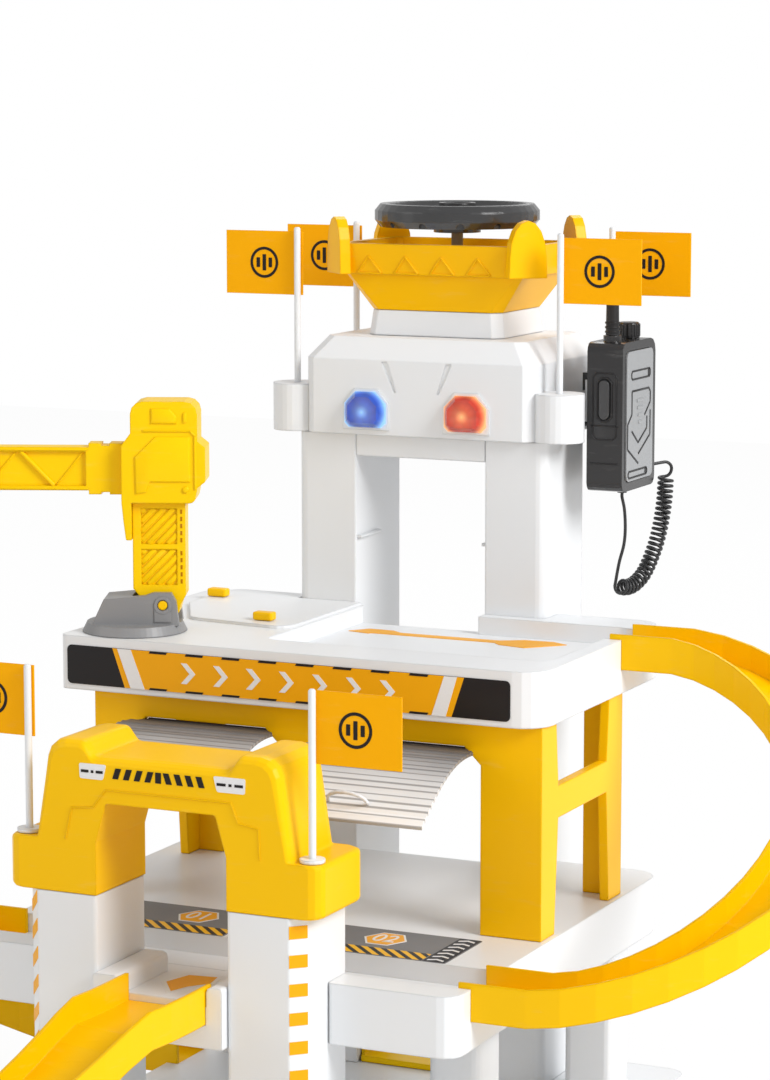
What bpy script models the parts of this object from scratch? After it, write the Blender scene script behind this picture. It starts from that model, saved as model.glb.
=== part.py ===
"""Toy parking garage: two decks with ramps, a gate, a lift tower with a helipad, a crane and a hand radio.

Metres, +Z up. The front faces -Y, and the origin lies on the floor under the middle of the decks.
"""
import math

import bmesh
import bpy
from mathutils import Matrix, Vector

# Clearances
GAP = 0.0003
SLIDE_GAP = 0.0006

# Base plate
BASE_HALF_WIDTH = 0.1665
BASE_FRONT = -0.204
BASE_REAR = 0.228
BASE_THICKNESS = 0.012
BASE_CORNER = 0.014
BASE_WALL = 0.004

# Decks
DECK_LEFT_REACH = 0.0025
DECK_FRONT_LEFT_CORNER = 0.0055
DECK_FRONT_RIGHT_CORNER = 0.0195
DECK_FRONT = -0.040
DECK_REAR = 0.171
DECK_BOTTOM = 0.298
DECK_THICKNESS = 0.035
DECK_CORNER = 0.018
DECK_WALL = 0.003
DECK_LANE_DROP = 0.012
PAD_HEIGHT = 0.002
STOP_SIZE = (0.014, 0.008, 0.0055)
STOP_PLACES = (("wheel_stop_rear", -0.143, 0.1295), ("wheel_stop_front", -0.069, 0.054))
PAD_LEFT = -0.150
PAD_FRONT = 0.046
MID_BOTTOM = 0.127
MID_THICKNESS = 0.037
MID_FRONT = -0.130
MID_BLOCK_FRONT = -0.167
MID_LANE_DROP = 0.012
BLOCK_CORNER = 0.012
RIGHT_RIM = 0.012
REAR_RIM = 0.025
LANE_FRONT = 0.000

# Columns under the middle deck
COLUMN_SIDE = 0.034
COLUMN_X = 0.130
COLUMN_YS = (-0.070, 0.1490)

# Gate and porch
GATE_X = -0.008
GATE_FRONT = -0.200
GATE_DEPTH = 0.060
PILLAR_DEPTH = 0.0595
PASSAGE_HALF = 0.0435
PILLAR_WIDTH = 0.0405
PILLAR_CHAMFER = 0.0083
PILLAR_TOP = 0.209
ARCH_BLOCK_HALF = 0.104
ARCH_BLOCK_HEIGHT = 0.032
ARCH_LEG_HALF = 0.085
ARCH_SHOULDER_HALF = 0.076
ARCH_TOP = 0.302
ARCH_SADDLE_DROP = 0.009
ARCH_SLOPE = 0.0045
ARCH_ROUNDING = 0.0075
ARCH_OPENING_TOP = 0.2655
ARCH_OPENING_HALF_TOP = 0.0365
PORCH_FRONT = -0.206
LANE_WIDTH = 0.0590
LANE_X = -0.0045
POLE_FOOT_RADIUS = 0.0075
POLE_FOOT_HEIGHT = 0.0022
POLE_RADIUS = 0.0022
GATE_POLE_OFFSET = 0.0945
GATE_POLE_Y = -0.190
GATE_POLE_TOP = 0.343

# Ramps: two walls with a raised floor between them
RAMP_WIDTH = 0.043
RAMP_WALL = 0.0022
RAMP_HEIGHT = 0.0228
RAMP_FLOOR_LIFT = 0.0065
RAMP_SEAT = 0.008
RAMP_STEP = 0.001
RAMP_REAR_Y = 0.1145
RAMP_FRONT_Y = -0.123
RAMP_LEAD = 0.034
RAMP_BULGE = 0.1275
RAMP_LEVEL_RUN = 0.045
RAMP_EASE = 0.67
FRONT_RAMP_WIDTH = 0.0575
FRONT_RAMP_STEP = 0.0042
FRONT_RAMP_LEAD = 0.020
FRONT_RAMP_RADIUS = 0.225
FRONT_RAMP_TURN = math.radians(70)
FRONT_RAMP_RUNOUT = 0.090
FRONT_RAMP_LEVEL_RUN = 0.067
FRONT_RAMP_EASE = 0.06

# Leg frame
FRAME_LEFT = -0.149
FRAME_RIGHT = 0.163
FRAME_FRONT = -0.030
FRAME_REAR = 0.105
FRAME_WALL = 0.006
BAY_INNER = 0.0148
BAY_WIDTH = 0.1077
BAY_TOP_DROP = 0.016
BAY_CHAMFER = 0.011
CROSSBAR_DROP = 0.041
CROSSBAR_HEIGHT = 0.020
SIDE_LEG_TOP = 0.027
SIDE_LEG_FOOT = 0.036

# Up-and-over doors
DOOR_REACH = 0.088
DOOR_DROP = 0.030
DOOR_HINGE_DROP = 0.0032
DOOR_SHOULDER = 0.012
DOOR_THICKNESS = 0.0016
DOOR_RIBS = 14
DOOR_RIB_HEIGHT = 0.0007
DOOR_PIN_RADIUS = 0.0014
DOOR_PIN_LENGTH = 0.0026
DOOR_BARREL_RADIUS = 0.0024
HANDLE_HALF_WIDTH = 0.013
HANDLE_RADIUS = 0.0012
HANDLE_RISE = 0.010
HANDLE_SHARE = 0.88

# Lift tower
TOWER_FRONT = 0.148
TOWER_DEPTH = 0.071
TOWER_HALF_WIDTH = 0.091
SHAFT_HALF = 0.0475
TOWER_WALL = 0.0024
TOWER_CORNER = 0.007
LINTEL_HEIGHT = 0.015
HEAD_BOTTOM = 0.450
HEAD_FRONT = 0.142
HEAD_DEPTH = 0.124
HEAD_HALF_WIDTH = 0.0835
HEAD_HEIGHT = 0.0505
HEAD_CORNER = 0.007
ROOF_RISE = 0.0145
ROOF_INSET = 0.011
HEAD_WALL = 0.003
HOLDER_RADIUS = 0.0166
HOLDER_HEIGHT = 0.032
HOLDER_OUT = 0.0127
HOLDER_FRONT_INSET = 0.0165
HOLDER_REAR_INSET = 0.0145
POLE_TOP = 0.587
POLE_SOCKET = 0.020
FLAG_WIDTH = 0.058
FLAG_HEIGHT = 0.043
FLAG_THICKNESS = 0.0012
FLAG_LAP = 0.0026
LAMP_WIDTH = 0.0295
LAMP_HEIGHT = 0.024
LAMP_DEPTH = 0.008
LAMP_X = 0.0365
LAMP_BOTTOM_LIFT = 0.0055
STOP_LEDGE_Z = 0.3785
STOP_LEDGE_HEIGHT = 0.002
STOP_LEDGE_LENGTH = 0.033
STOP_LEDGE_REACH = 0.003

# Helipad and handwheel
PAD_Y = 0.2088
COLLAR_HALF_X = 0.0476
COLLAR_HALF_Y = 0.0385
COLLAR_CHAMFER = 0.0066
COLLAR_HEIGHT = 0.017
COLLAR_FLARE = 0.002
FUNNEL_HEIGHT = 0.024
TRAY_HALF_X = 0.0665
TRAY_HALF_Y = 0.0445
TRAY_WALL_HEIGHT = 0.021
TRAY_WALL = 0.003
TRAY_LEAN = 0.003
TRAY_CORNER = 0.004
FIN_SHIFT = 0.002
FIN_WIDTH = 0.027
FIN_THICKNESS = 0.0075
FIN_TOP_RISE = 0.0175
FIN_ROUND = 0.024
WHEEL_Y = PAD_Y
WHEEL_RADIUS = 0.0560
WHEEL_BAND = 0.0125
WHEEL_HEIGHT = 0.0155
WHEEL_LIFT = 0.0105
HUB_RADIUS = 0.016
WHEEL_GRIPS = 13
WHEEL_GRIP_DEPTH = 0.004
GRIP_RADIUS = 0.0026
SPOKE_WIDTH = 0.011
SPOKE_HEIGHT = 0.006
SPINDLE_RADIUS = 0.004
DRUM_RADIUS = 0.0125
DRUM_WIDTH = 0.010
DRUM_FLANGE = 0.0175

# Lift car
CAR_FLOOR = 0.004
CAR_HALF_WIDTH = 0.0462
CAR_DEPTH = 0.065
CAR_LIP = 0.010
CAR_WALL = 0.0022
CAR_HEIGHT = 0.060
CAR_HOOP_DEPTH = 0.012

# Crane
CRANE_X = -0.133
CRANE_Y = -0.005
CRANE_YAW = math.radians(23.0)
TURNTABLE_RADIUS = 0.034
TURNTABLE_RIM = 0.006
HULL_HEIGHT = 0.0205
CHEEK_THICKNESS = 0.005
CRANE_PIN_LIFT = 0.0185
CRANE_PIN_SETBACK = 0.0025
CRANE_PIN_RADIUS = 0.003
MAST_OFFSET = -0.0172
MAST_WIDTH = 0.034
MAST_THICKNESS = 0.020
MAST_TOP_LIFT = 0.0845
STRUT_DROP = 0.024
STRUT_REACH = 0.0105
CRANE_HEAD_WIDTH = 0.049
CRANE_HEAD_HEIGHT = 0.045
CRANE_HEAD_THICKNESS = 0.030
CRANE_CROWN_HEIGHT = 0.0205
CRANE_CROWN_WIDTH = 0.043
BOOM_HEIGHT = 0.028
BOOM_THICKNESS = 0.014
BOOM_LENGTH = 0.135
BOOM_TIP_HEIGHT = 0.016
COLLAR_PLATE = 0.008
COLLAR_PLATE_HEIGHT = 0.033
COLLAR_GAP = 0.0055
HOOK_PIN_RADIUS = 0.0015
HOOK_LENGTH = 0.024

# Hand radio on the tower's right side
RADIO_X = 0.109
RADIO_THICKNESS = 0.025
RADIO_FRONT = 0.175
RADIO_DEPTH = 0.061
RADIO_BOTTOM = 0.416
RADIO_HEIGHT = 0.099
RADIO_CORNER = 0.006
RADIO_FACE = 0.0015
ANTENNA_RADIUS = 0.0045
ANTENNA_LENGTH = 0.047
ANTENNA_INSET = 0.013
KNOB_RADIUS = 0.0070
KNOB_HEIGHT = 0.0105
KNOB_INSET = 0.044
BUTTON_WIDTH = 0.007
BUTTON_HEIGHT = 0.026
BUTTON_STAND = 0.0030
BUTTON_TRAVEL = 0.0012
BRACKET_WIDTH = 0.020
BRACKET_HEIGHT = 0.028
BRACKET_LIFT = 0.024
BRACKET_PLATE = 0.003
CLIP_THICKNESS = 0.0025
CORD_RADIUS = 0.0011
CORD_CURL_RADIUS = 0.0046
CORD_TURNS = 27
CORD_TURN_POINTS = 8
GLAND_RADIUS = 0.0032
GLAND_INSET = 0.0335
GLAND_LENGTH = 0.004
COIL_SIDE = (51.0, -17.0)
SOCKET_LENGTH = 0.006
SOCKET_SETBACK = 0.047
SOCKET_LIFT = 0.006
SOCKET_RADIUS = 0.0045

# Levels that follow from the sizes above
BASE_TOP = BASE_THICKNESS
MID_TOP = MID_BOTTOM + MID_THICKNESS
MID_LANE = MID_TOP - MID_LANE_DROP
DECK_TOP = DECK_BOTTOM + DECK_THICKNESS
DECK_HALF_WIDTH = BASE_HALF_WIDTH
HOLDER_X = HEAD_HALF_WIDTH + HOLDER_OUT
HOLDER_YS = (HEAD_FRONT + HOLDER_FRONT_INSET, HEAD_FRONT + HEAD_DEPTH - HOLDER_REAR_INSET)
DECK_LANE = DECK_TOP - DECK_LANE_DROP
ROOF_Z = HEAD_BOTTOM + HEAD_HEIGHT + ROOF_RISE
COLLAR_TOP = ROOF_Z + COLLAR_HEIGHT
TRAY_BOTTOM = COLLAR_TOP + FUNNEL_HEIGHT
TRAY_TOP = TRAY_BOTTOM + TRAY_WALL_HEIGHT
TOWER_REAR = TOWER_FRONT + TOWER_DEPTH
HEAD_REAR = HEAD_FRONT + HEAD_DEPTH
BAY_OUTER = BAY_INNER + BAY_WIDTH
FRAME_TOP = DECK_BOTTOM - GAP
BAY_TOP = DECK_BOTTOM - BAY_TOP_DROP
DOOR_AXIS_Z = BAY_TOP - DOOR_HINGE_DROP
DOOR_AXIS_Y = FRAME_FRONT + FRAME_WALL / 2
PLUS_SIDE = (("left", -1), ("right", 1))

WHITE = (0.86, 0.86, 0.86)
YELLOW = (0.98, 0.66, 0.02)
LIGHT_YELLOW = (0.98, 0.76, 0.03)
GREY = (0.32, 0.32, 0.33)
BLACK = (0.025, 0.025, 0.028)


def clear_scene():
    for thing in list(bpy.data.objects):
        bpy.data.objects.remove(thing)


def make_collection(name):
    group = bpy.data.collections.new(name)
    bpy.context.scene.collection.children.link(group)
    return group


def plastic(name, colour, roughness=0.35, metallic=0.0):
    material = bpy.data.materials.new(name)
    material.use_nodes = True
    shader = material.node_tree.nodes["Principled BSDF"]
    shader.inputs["Base Color"].default_value = (*colour, 1.0)
    shader.inputs["Roughness"].default_value = roughness
    shader.inputs["Metallic"].default_value = metallic
    return material


def place(name, mesh, group, colour=None, roughness=0.35, metallic=0.0):
    thing = bpy.data.objects.new(name, mesh)
    group.objects.link(thing)
    if colour is not None:
        mesh.materials.clear()
        mesh.materials.append(plastic(name, colour, roughness, metallic))
    return thing


def rounded(corners, radius, steps=4):
    """An outline with each corner replaced by an arc; radius is one value or one for each corner."""
    radii = radius if isinstance(radius, (list, tuple)) else [radius] * len(corners)
    points = []
    for index, corner in enumerate(corners):
        here = Vector(corner)
        before = Vector(corners[index - 1])
        after = Vector(corners[(index + 1) % len(corners)])
        to_before = (before - here).normalized()
        to_after = (after - here).normalized()
        size = radii[index]
        turn = math.acos(max(-1.0, min(1.0, to_before.dot(to_after))))
        if size <= 0.0 or turn > math.pi - 0.01:
            points.append((here.x, here.y))
            continue
        reach = min(size / math.tan(turn / 2), 0.45 * (before - here).length, 0.45 * (after - here).length)
        size = reach * math.tan(turn / 2)
        middle = here + (to_before + to_after).normalized() * (size / math.sin(turn / 2))
        first = here + to_before * reach - middle
        last = here + to_after * reach - middle
        sweep = math.atan2(first.x * last.y - first.y * last.x, first.dot(last))
        for step in range(steps + 1):
            arm = first.copy()
            arm.rotate(Matrix.Rotation(sweep * step / steps, 2))
            points.append((middle.x + arm.x, middle.y + arm.y))
    return points


def rectangle(left, right, low, high):
    return [(left, low), (right, low), (right, high), (left, high)]


def outline_mesh(name, outline, start, end, axis="Z"):
    """A flat outline given thickness from start to end along an axis, as a welded mesh.

    The outline is in XY for axis Z, in XZ for axis Y and in YZ for axis X.
    """
    curve = bpy.data.curves.new(name, "CURVE")
    curve.dimensions = "2D"
    curve.fill_mode = "BOTH"
    curve.extrude = (end - start) / 2
    spline = curve.splines.new("POLY")
    spline.points.add(len(outline) - 1)
    for point, (across, along) in zip(spline.points, outline):
        point.co = (across, along, 0.0, 1.0)
    spline.use_cyclic_u = True
    guide = bpy.data.objects.new(name, curve)
    bpy.context.scene.collection.objects.link(guide)
    bpy.context.view_layer.update()
    mesh = bpy.data.meshes.new_from_object(guide.evaluated_get(bpy.context.evaluated_depsgraph_get()))
    bpy.data.objects.remove(guide)
    bpy.data.curves.remove(curve)
    mesh.name = name
    middle = (start + end) / 2
    if axis == "Y":
        turn = Matrix.Translation((0, middle, 0)) @ Matrix.Rotation(math.pi / 2, 4, "X")
    elif axis == "X":
        swap = Matrix(((0, 0, 1, 0), (1, 0, 0, 0), (0, 1, 0, 0), (0, 0, 0, 1)))
        turn = Matrix.Translation((middle, 0, 0)) @ swap
    else:
        turn = Matrix.Translation((0, 0, middle))
    work = bmesh.new()
    work.from_mesh(mesh)
    bmesh.ops.remove_doubles(work, verts=work.verts, dist=0.000001)
    bmesh.ops.transform(work, matrix=turn, verts=work.verts)
    bmesh.ops.recalc_face_normals(work, faces=work.faces)
    work.to_mesh(mesh)
    work.free()
    return mesh


def box_mesh(name, low, high):
    work = bmesh.new()
    size = Vector(high) - Vector(low)
    middle = (Vector(high) + Vector(low)) / 2
    bmesh.ops.create_cube(work, size=1.0, matrix=Matrix.Translation(middle) @ Matrix.Diagonal((*size, 1.0)))
    mesh = bpy.data.meshes.new(name)
    work.to_mesh(mesh)
    work.free()
    return mesh


def rod_mesh(name, start, end, radius, sides=24, end_radius=None):
    """A cylinder or cone between two points."""
    start = Vector(start)
    end = Vector(end)
    run = end - start
    turn = run.to_track_quat("Z", "Y").to_matrix().to_4x4()
    work = bmesh.new()
    bmesh.ops.create_cone(
        work, cap_ends=True, segments=sides, radius1=radius, radius2=radius if end_radius is None else end_radius,
        depth=run.length, matrix=Matrix.Translation((start + end) / 2) @ turn)
    for face in work.faces:
        face.smooth = len(face.verts) == 4
    mesh = bpy.data.meshes.new(name)
    work.to_mesh(mesh)
    work.free()
    return mesh


def loft_mesh(name, sections):
    """A closed solid through sections of as many points each, with both ends capped."""
    work = bmesh.new()
    rings = [[work.verts.new(point) for point in section] for section in sections]
    count = len(rings[0])
    for before, after in zip(rings, rings[1:]):
        for index in range(count):
            other = (index + 1) % count
            work.faces.new((before[index], before[other], after[other], after[index]))
    work.faces.new(rings[0][::-1])
    work.faces.new(rings[-1])
    bmesh.ops.recalc_face_normals(work, faces=work.faces)
    mesh = bpy.data.meshes.new(name)
    work.to_mesh(mesh)
    work.free()
    return mesh


def turned(name, profile, centre, group, colour, steps=32, roughness=0.35):
    """A profile of (radius, height) points, top to bottom, spun about a vertical axis at the centre."""
    mesh = bpy.data.meshes.new(name)
    points = [(radius, 0.0, height) for radius, height in profile]
    mesh.from_pydata(points, [(index, index + 1) for index in range(len(points) - 1)], [])
    thing = place(name, mesh, group, colour, roughness)
    thing.location = centre
    screw = thing.modifiers.new("Turn", "SCREW")
    screw.axis = "Z"
    screw.steps = steps
    screw.render_steps = steps
    screw.use_merge_vertices = True
    screw.merge_threshold = 0.00001
    return thing


def alter(thing, mesh, operation, cutters, name):
    """Cut a shape from the object, or join one to it."""
    tool = bpy.data.objects.new(name, mesh)
    cutters.objects.link(tool)
    tool.hide_render = True
    tool.display_type = "WIRE"
    boolean = thing.modifiers.new(name, "BOOLEAN")
    boolean.operation = operation
    boolean.solver = "EXACT"
    boolean.object = tool
    return tool


def soften(thing, width, segments=2, angle=30):
    bevel = thing.modifiers.new("Edges", "BEVEL")
    bevel.width = width
    bevel.segments = segments
    bevel.limit_method = "ANGLE"
    bevel.angle_limit = math.radians(angle)
    return bevel


def moved(mesh, matrix):
    mesh.transform(matrix)
    return mesh


class Builder:
    def __init__(self):
        self.parts = make_collection("toy_parking_garage")
        self.cutters = make_collection("cutters")

    def solid(self, name, mesh, colour, roughness=0.35, metallic=0.0):
        return place(name, mesh, self.parts, colour, roughness, metallic)

    def cut(self, thing, mesh, name="cut"):
        return alter(thing, mesh, "DIFFERENCE", self.cutters, name)

    def join(self, thing, mesh, name="join"):
        return alter(thing, mesh, "UNION", self.cutters, name)


def make_base(b):
    outline = rounded(rectangle(-BASE_HALF_WIDTH, BASE_HALF_WIDTH, BASE_FRONT, BASE_REAR), BASE_CORNER)
    base = b.solid("base_plate", outline_mesh("base_plate", outline, 0.0, BASE_THICKNESS), WHITE)
    column_top = MID_LANE - DECK_WALL - GAP
    for y in COLUMN_YS:
        for side, sign in PLUS_SIDE:
            b.join(base, column_mesh(sign * COLUMN_X, y, 0.0, BASE_TOP - 0.001, column_top), "column")
            b.cut(base, column_mesh(sign * COLUMN_X, y, TOWER_WALL, BASE_TOP, column_top + 0.01), "column_hollow")
    b.cut(base, ramp_seat(-1, RAMP_REAR_Y, RAMP_WIDTH, BASE_TOP - RAMP_STEP, BASE_HALF_WIDTH), "ramp_seat")
    wall = BASE_WALL
    edge = BASE_HALF_WIDTH - 2.5 * wall
    rear = RAMP_REAR_Y - RAMP_WIDTH / 2 - GAP - wall
    for side, sign in PLUS_SIDE:
        left, right = sorted((sign * wall / 2, sign * edge))
        b.cut(base, box_mesh("hollow", (left, BASE_FRONT + 2 * wall, -0.01), (right, rear, BASE_TOP - wall)), "underside")


def column_mesh(x, y, wall, low, high):
    half = COLUMN_SIDE / 2 - wall
    corners = rectangle(x - half, x + half, y - half, y + half)
    return outline_mesh("column", rounded(corners, 0.005 - wall, 3), low, high)


def tower_notch(low, high):
    """The space that a deck leaves for the tower behind it."""
    return box_mesh("notch", (-TOWER_HALF_WIDTH - GAP, TOWER_FRONT - GAP, low), (TOWER_HALF_WIDTH + GAP, 1.0, high))


def ramp_seat(side, y, width, floor_z, edge):
    """The notch in a deck's side in which a ramp's end lies."""
    low = floor_z - RAMP_FLOOR_LIFT - GAP
    inner = side * (edge - RAMP_SEAT - GAP)
    outer = side * (edge + 0.05)
    return box_mesh(
        "seat", (min(inner, outer), y - width / 2 - GAP, low),
        (max(inner, outer), y + width / 2 + GAP, floor_z + RAMP_HEIGHT))


def make_mid_deck(b):
    half = DECK_HALF_WIDTH
    block_left = GATE_X - PASSAGE_HALF - PILLAR_WIDTH - PILLAR_CHAMFER - GAP
    block_right = GATE_X + PASSAGE_HALF + PILLAR_WIDTH + PILLAR_CHAMFER + GAP
    corners = [
        (-half, MID_BLOCK_FRONT), (block_left, MID_BLOCK_FRONT), (block_left, MID_FRONT), (block_right, MID_FRONT),
        (block_right, MID_BLOCK_FRONT), (half, MID_BLOCK_FRONT), (half, DECK_REAR), (-half, DECK_REAR)]
    radii = [BLOCK_CORNER, 0.003, 0, 0, 0.003, BLOCK_CORNER, DECK_CORNER, DECK_CORNER]
    mesh = outline_mesh("mid_deck", rounded(corners, radii), MID_BOTTOM, MID_TOP)
    deck = b.solid("mid_deck", mesh, WHITE)
    wall = DECK_WALL
    hollow = rounded(
        rectangle(-half + wall, half - wall, MID_FRONT + wall, TOWER_FRONT - GAP - wall), [0, 0, 0.012, 0.012], 2)
    b.cut(deck, outline_mesh("hollow", hollow, MID_BOTTOM - 0.01, MID_LANE - wall), "underside")
    for side, sign in PLUS_SIDE:
        inner = TOWER_HALF_WIDTH + GAP + wall
        left, right = sorted((sign * inner, sign * (half - wall)))
        b.cut(deck, box_mesh(
            "rear_hollow", (left, TOWER_FRONT - wall - 0.002, MID_BOTTOM - 0.01),
            (right, DECK_REAR - wall - 0.0008, MID_LANE - wall)), "rear_underside")
    b.cut(deck, tower_notch(MID_BOTTOM - 0.01, MID_TOP + 0.01), "tower_notch")
    lane_rear = RAMP_FRONT_Y + RAMP_WIDTH / 2 + GAP
    lane_front = RAMP_FRONT_Y - RAMP_WIDTH / 2 - GAP
    end = half - RAMP_SEAT
    lane = [
        (-end, lane_front), (block_left, lane_front), (block_left, MID_FRONT - 0.05), (block_right, MID_FRONT - 0.05),
        (block_right, lane_front), (end, lane_front), (end, lane_rear), (-end, lane_rear)]
    b.cut(deck, outline_mesh("lane", lane, MID_LANE, MID_TOP + 0.01), "lane")
    for side, sign in PLUS_SIDE:
        b.cut(deck, ramp_seat(sign, RAMP_FRONT_Y, RAMP_WIDTH, MID_LANE - RAMP_STEP, half), "ramp_seat_" + side)


def make_upper_deck(b):
    half = DECK_HALF_WIDTH
    left = -half - DECK_LEFT_REACH
    corners = rectangle(left, half, DECK_FRONT, DECK_REAR)
    radii = [DECK_FRONT_LEFT_CORNER, DECK_FRONT_RIGHT_CORNER, DECK_CORNER, DECK_CORNER]
    deck = b.solid("upper_deck", outline_mesh("upper_deck", rounded(corners, radii, 5), DECK_BOTTOM, DECK_TOP), WHITE)
    pad_right = -SHAFT_HALF + 0.004
    pad = rounded(
        [(PAD_LEFT, 0.100), (PAD_LEFT + 0.030, PAD_FRONT), (pad_right, PAD_FRONT - 0.010),
         (pad_right, DECK_REAR - 0.006), (PAD_LEFT, DECK_REAR - 0.006)], [0.012, 0.012, 0.012, 0.004, 0.010])
    b.join(deck, outline_mesh("pad", pad, DECK_TOP - 0.004, DECK_TOP + PAD_HEIGHT), "pad")
    border = FRAME_WALL + DECK_WALL
    hollow = rectangle(
        FRAME_LEFT + border, FRAME_RIGHT - border, FRAME_FRONT + border, TOWER_FRONT - GAP - DECK_WALL)
    b.cut(deck, outline_mesh("hollow", hollow, DECK_BOTTOM - 0.01, DECK_LANE - DECK_WALL), "underside")
    rear_edge = DECK_REAR - REAR_RIM
    lane = [
        (-SHAFT_HALF + 0.006, LANE_FRONT), (half - RIGHT_RIM, LANE_FRONT), (half - RIGHT_RIM, rear_edge - 0.008),
        (SHAFT_HALF, rear_edge - 0.008), (SHAFT_HALF, TOWER_FRONT + 0.01), (-SHAFT_HALF + 0.006, TOWER_FRONT + 0.01)]
    b.cut(deck, outline_mesh("lane", rounded(lane, [0.008, 0.014, 0.006, 0, 0, 0]), DECK_LANE, DECK_TOP + 0.02), "lane")
    b.cut(deck, ramp_seat(1, RAMP_REAR_Y, RAMP_WIDTH, DECK_LANE - RAMP_STEP, half), "ramp_seat")
    b.cut(deck, box_mesh(
        "mouth", (half - RIGHT_RIM - 0.006, RAMP_REAR_Y - RAMP_WIDTH / 2, DECK_LANE),
        (half + 0.01, RAMP_REAR_Y + RAMP_WIDTH / 2, DECK_TOP + 0.02)), "mouth")
    b.cut(deck, tower_notch(DECK_BOTTOM - 0.01, DECK_TOP + 0.02), "tower_notch")
    soften(deck, 0.0016, 2, 50)
    low_z = DECK_TOP + PAD_HEIGHT + GAP
    for name, x, y in STOP_PLACES:
        low = (x - STOP_SIZE[0] / 2, y - STOP_SIZE[1] / 2, low_z)
        high = (x + STOP_SIZE[0] / 2, y + STOP_SIZE[1] / 2, low_z + STOP_SIZE[2])
        stop = b.solid(name, box_mesh(name, low, high), YELLOW)
        soften(stop, 0.0012)


def make_gate(b):
    front = GATE_FRONT
    for side, sign in PLUS_SIDE:
        inner = GATE_X + sign * PASSAGE_HALF
        edge = inner + sign * PILLAR_WIDTH
        outer = edge + sign * PILLAR_CHAMFER
        corners = [
            (inner, front), (edge, front), (outer, front + PILLAR_CHAMFER),
            (outer, front + PILLAR_DEPTH), (inner, front + PILLAR_DEPTH)]
        name = "gate_pillar_" + side
        pillar = b.solid(name, outline_mesh(name, rounded(corners, 0.002, 2), BASE_TOP + GAP, PILLAR_TOP), WHITE)
        wall = TOWER_WALL
        hollow = [
            (inner + sign * wall, front + wall), (edge - sign * wall * 0.4, front + wall),
            (outer - sign * wall, front + PILLAR_CHAMFER + wall * 0.4),
            (outer - sign * wall, front + PILLAR_DEPTH - wall), (inner + sign * wall, front + PILLAR_DEPTH - wall)]
        b.cut(pillar, outline_mesh("hollow", hollow, 0.0, PILLAR_TOP - wall))
    make_arch(b)
    make_porch(b)


def arch_outline(share):
    """The gate arch from the front; share draws its edges in, from 0 in its middle to 1 on its faces."""
    low = PILLAR_TOP + GAP
    drop = ARCH_SLOPE * share
    block = ARCH_BLOCK_HALF - ARCH_ROUNDING * share
    block_top = low + ARCH_BLOCK_HEIGHT
    saddle = ARCH_TOP - ARCH_SADDLE_DROP
    half = [
        (PASSAGE_HALF, low), (block, low), (block, block_top), (ARCH_LEG_HALF - drop * 0.6, block_top),
        (ARCH_SHOULDER_HALF - drop, ARCH_TOP - drop), (0.052, ARCH_TOP - drop), (0.045, saddle - drop)]
    rounding = [0, 0.003, 0.003, 0.002, 0.014, 0.005, 0.005]
    outer = [(GATE_X + x, z) for x, z in half]
    mirror = [(GATE_X - x, z) for x, z in reversed(half)]
    opening = [
        (GATE_X - PASSAGE_HALF, block_top), (GATE_X - ARCH_OPENING_HALF_TOP, ARCH_OPENING_TOP),
        (GATE_X + ARCH_OPENING_HALF_TOP, ARCH_OPENING_TOP), (GATE_X + PASSAGE_HALF, block_top)]
    return rounded(outer + mirror + opening, rounding + rounding[::-1] + [0, 0.002, 0.002, 0], 3)


def make_arch(b):
    block_top = PILLAR_TOP + GAP + ARCH_BLOCK_HEIGHT
    rear = GATE_FRONT + GATE_DEPTH
    sections = []
    for depth, share in ((0.0, 1.0), (0.15, 0.48), (0.5, 0.13), (1.0, 0.0)):
        sections.append([(x, GATE_FRONT + ARCH_ROUNDING * depth, z) for x, z in arch_outline(share)])
    for depth, share in ((1.0, 0.0), (0.5, 0.13), (0.0, 1.0)):
        sections.append([(x, rear - ARCH_ROUNDING * depth, z) for x, z in arch_outline(share)])
    arch = b.solid("gate_arch", loft_mesh("gate_arch", sections), YELLOW)
    socket_low = block_top - 0.012
    for side, sign in PLUS_SIDE:
        x = GATE_X + sign * GATE_POLE_OFFSET
        b.cut(arch, rod_mesh("socket", (x, GATE_POLE_Y, socket_low), (x, GATE_POLE_Y, block_top + 0.02), POLE_RADIUS + GAP, 16), "socket")
    for side, sign in PLUS_SIDE:
        x = GATE_X + sign * GATE_POLE_OFFSET
        make_pole(b, "gate_pole_" + side, x, GATE_POLE_Y, socket_low + GAP, GATE_POLE_TOP, block_top + GAP)
        make_flag(b, "gate_flag_" + side, x, GATE_POLE_Y, GATE_POLE_TOP - 0.001, sign)


def make_pole(b, name, x, y, low, high, foot=None):
    """A flag pole, with a disc where it meets the surface at height foot."""
    length = high - low
    profile = [(0.0, length), (POLE_RADIUS * 0.6, length), (POLE_RADIUS, length - 0.001)]
    if foot is not None:
        level = foot - low
        profile += [
            (POLE_RADIUS, level + POLE_FOOT_HEIGHT), (POLE_FOOT_RADIUS, level + POLE_FOOT_HEIGHT),
            (POLE_FOOT_RADIUS, level), (POLE_RADIUS, level)]
    profile += [(POLE_RADIUS, 0.0), (0.0, 0.0)]
    turned(name, profile, (x, y, low), b.parts, WHITE, steps=14, roughness=0.3)


def make_flag(b, name, x, y, top, sign):
    """A stiff flag that clips on behind its pole."""
    near = y + POLE_RADIUS + GAP
    left, right = sorted((x - sign * FLAG_LAP, x + sign * (FLAG_WIDTH - FLAG_LAP)))
    low = (left, near, top - FLAG_HEIGHT)
    high = (right, near + FLAG_THICKNESS, top)
    b.solid(name, box_mesh(name, low, high), YELLOW, 0.5)


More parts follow.
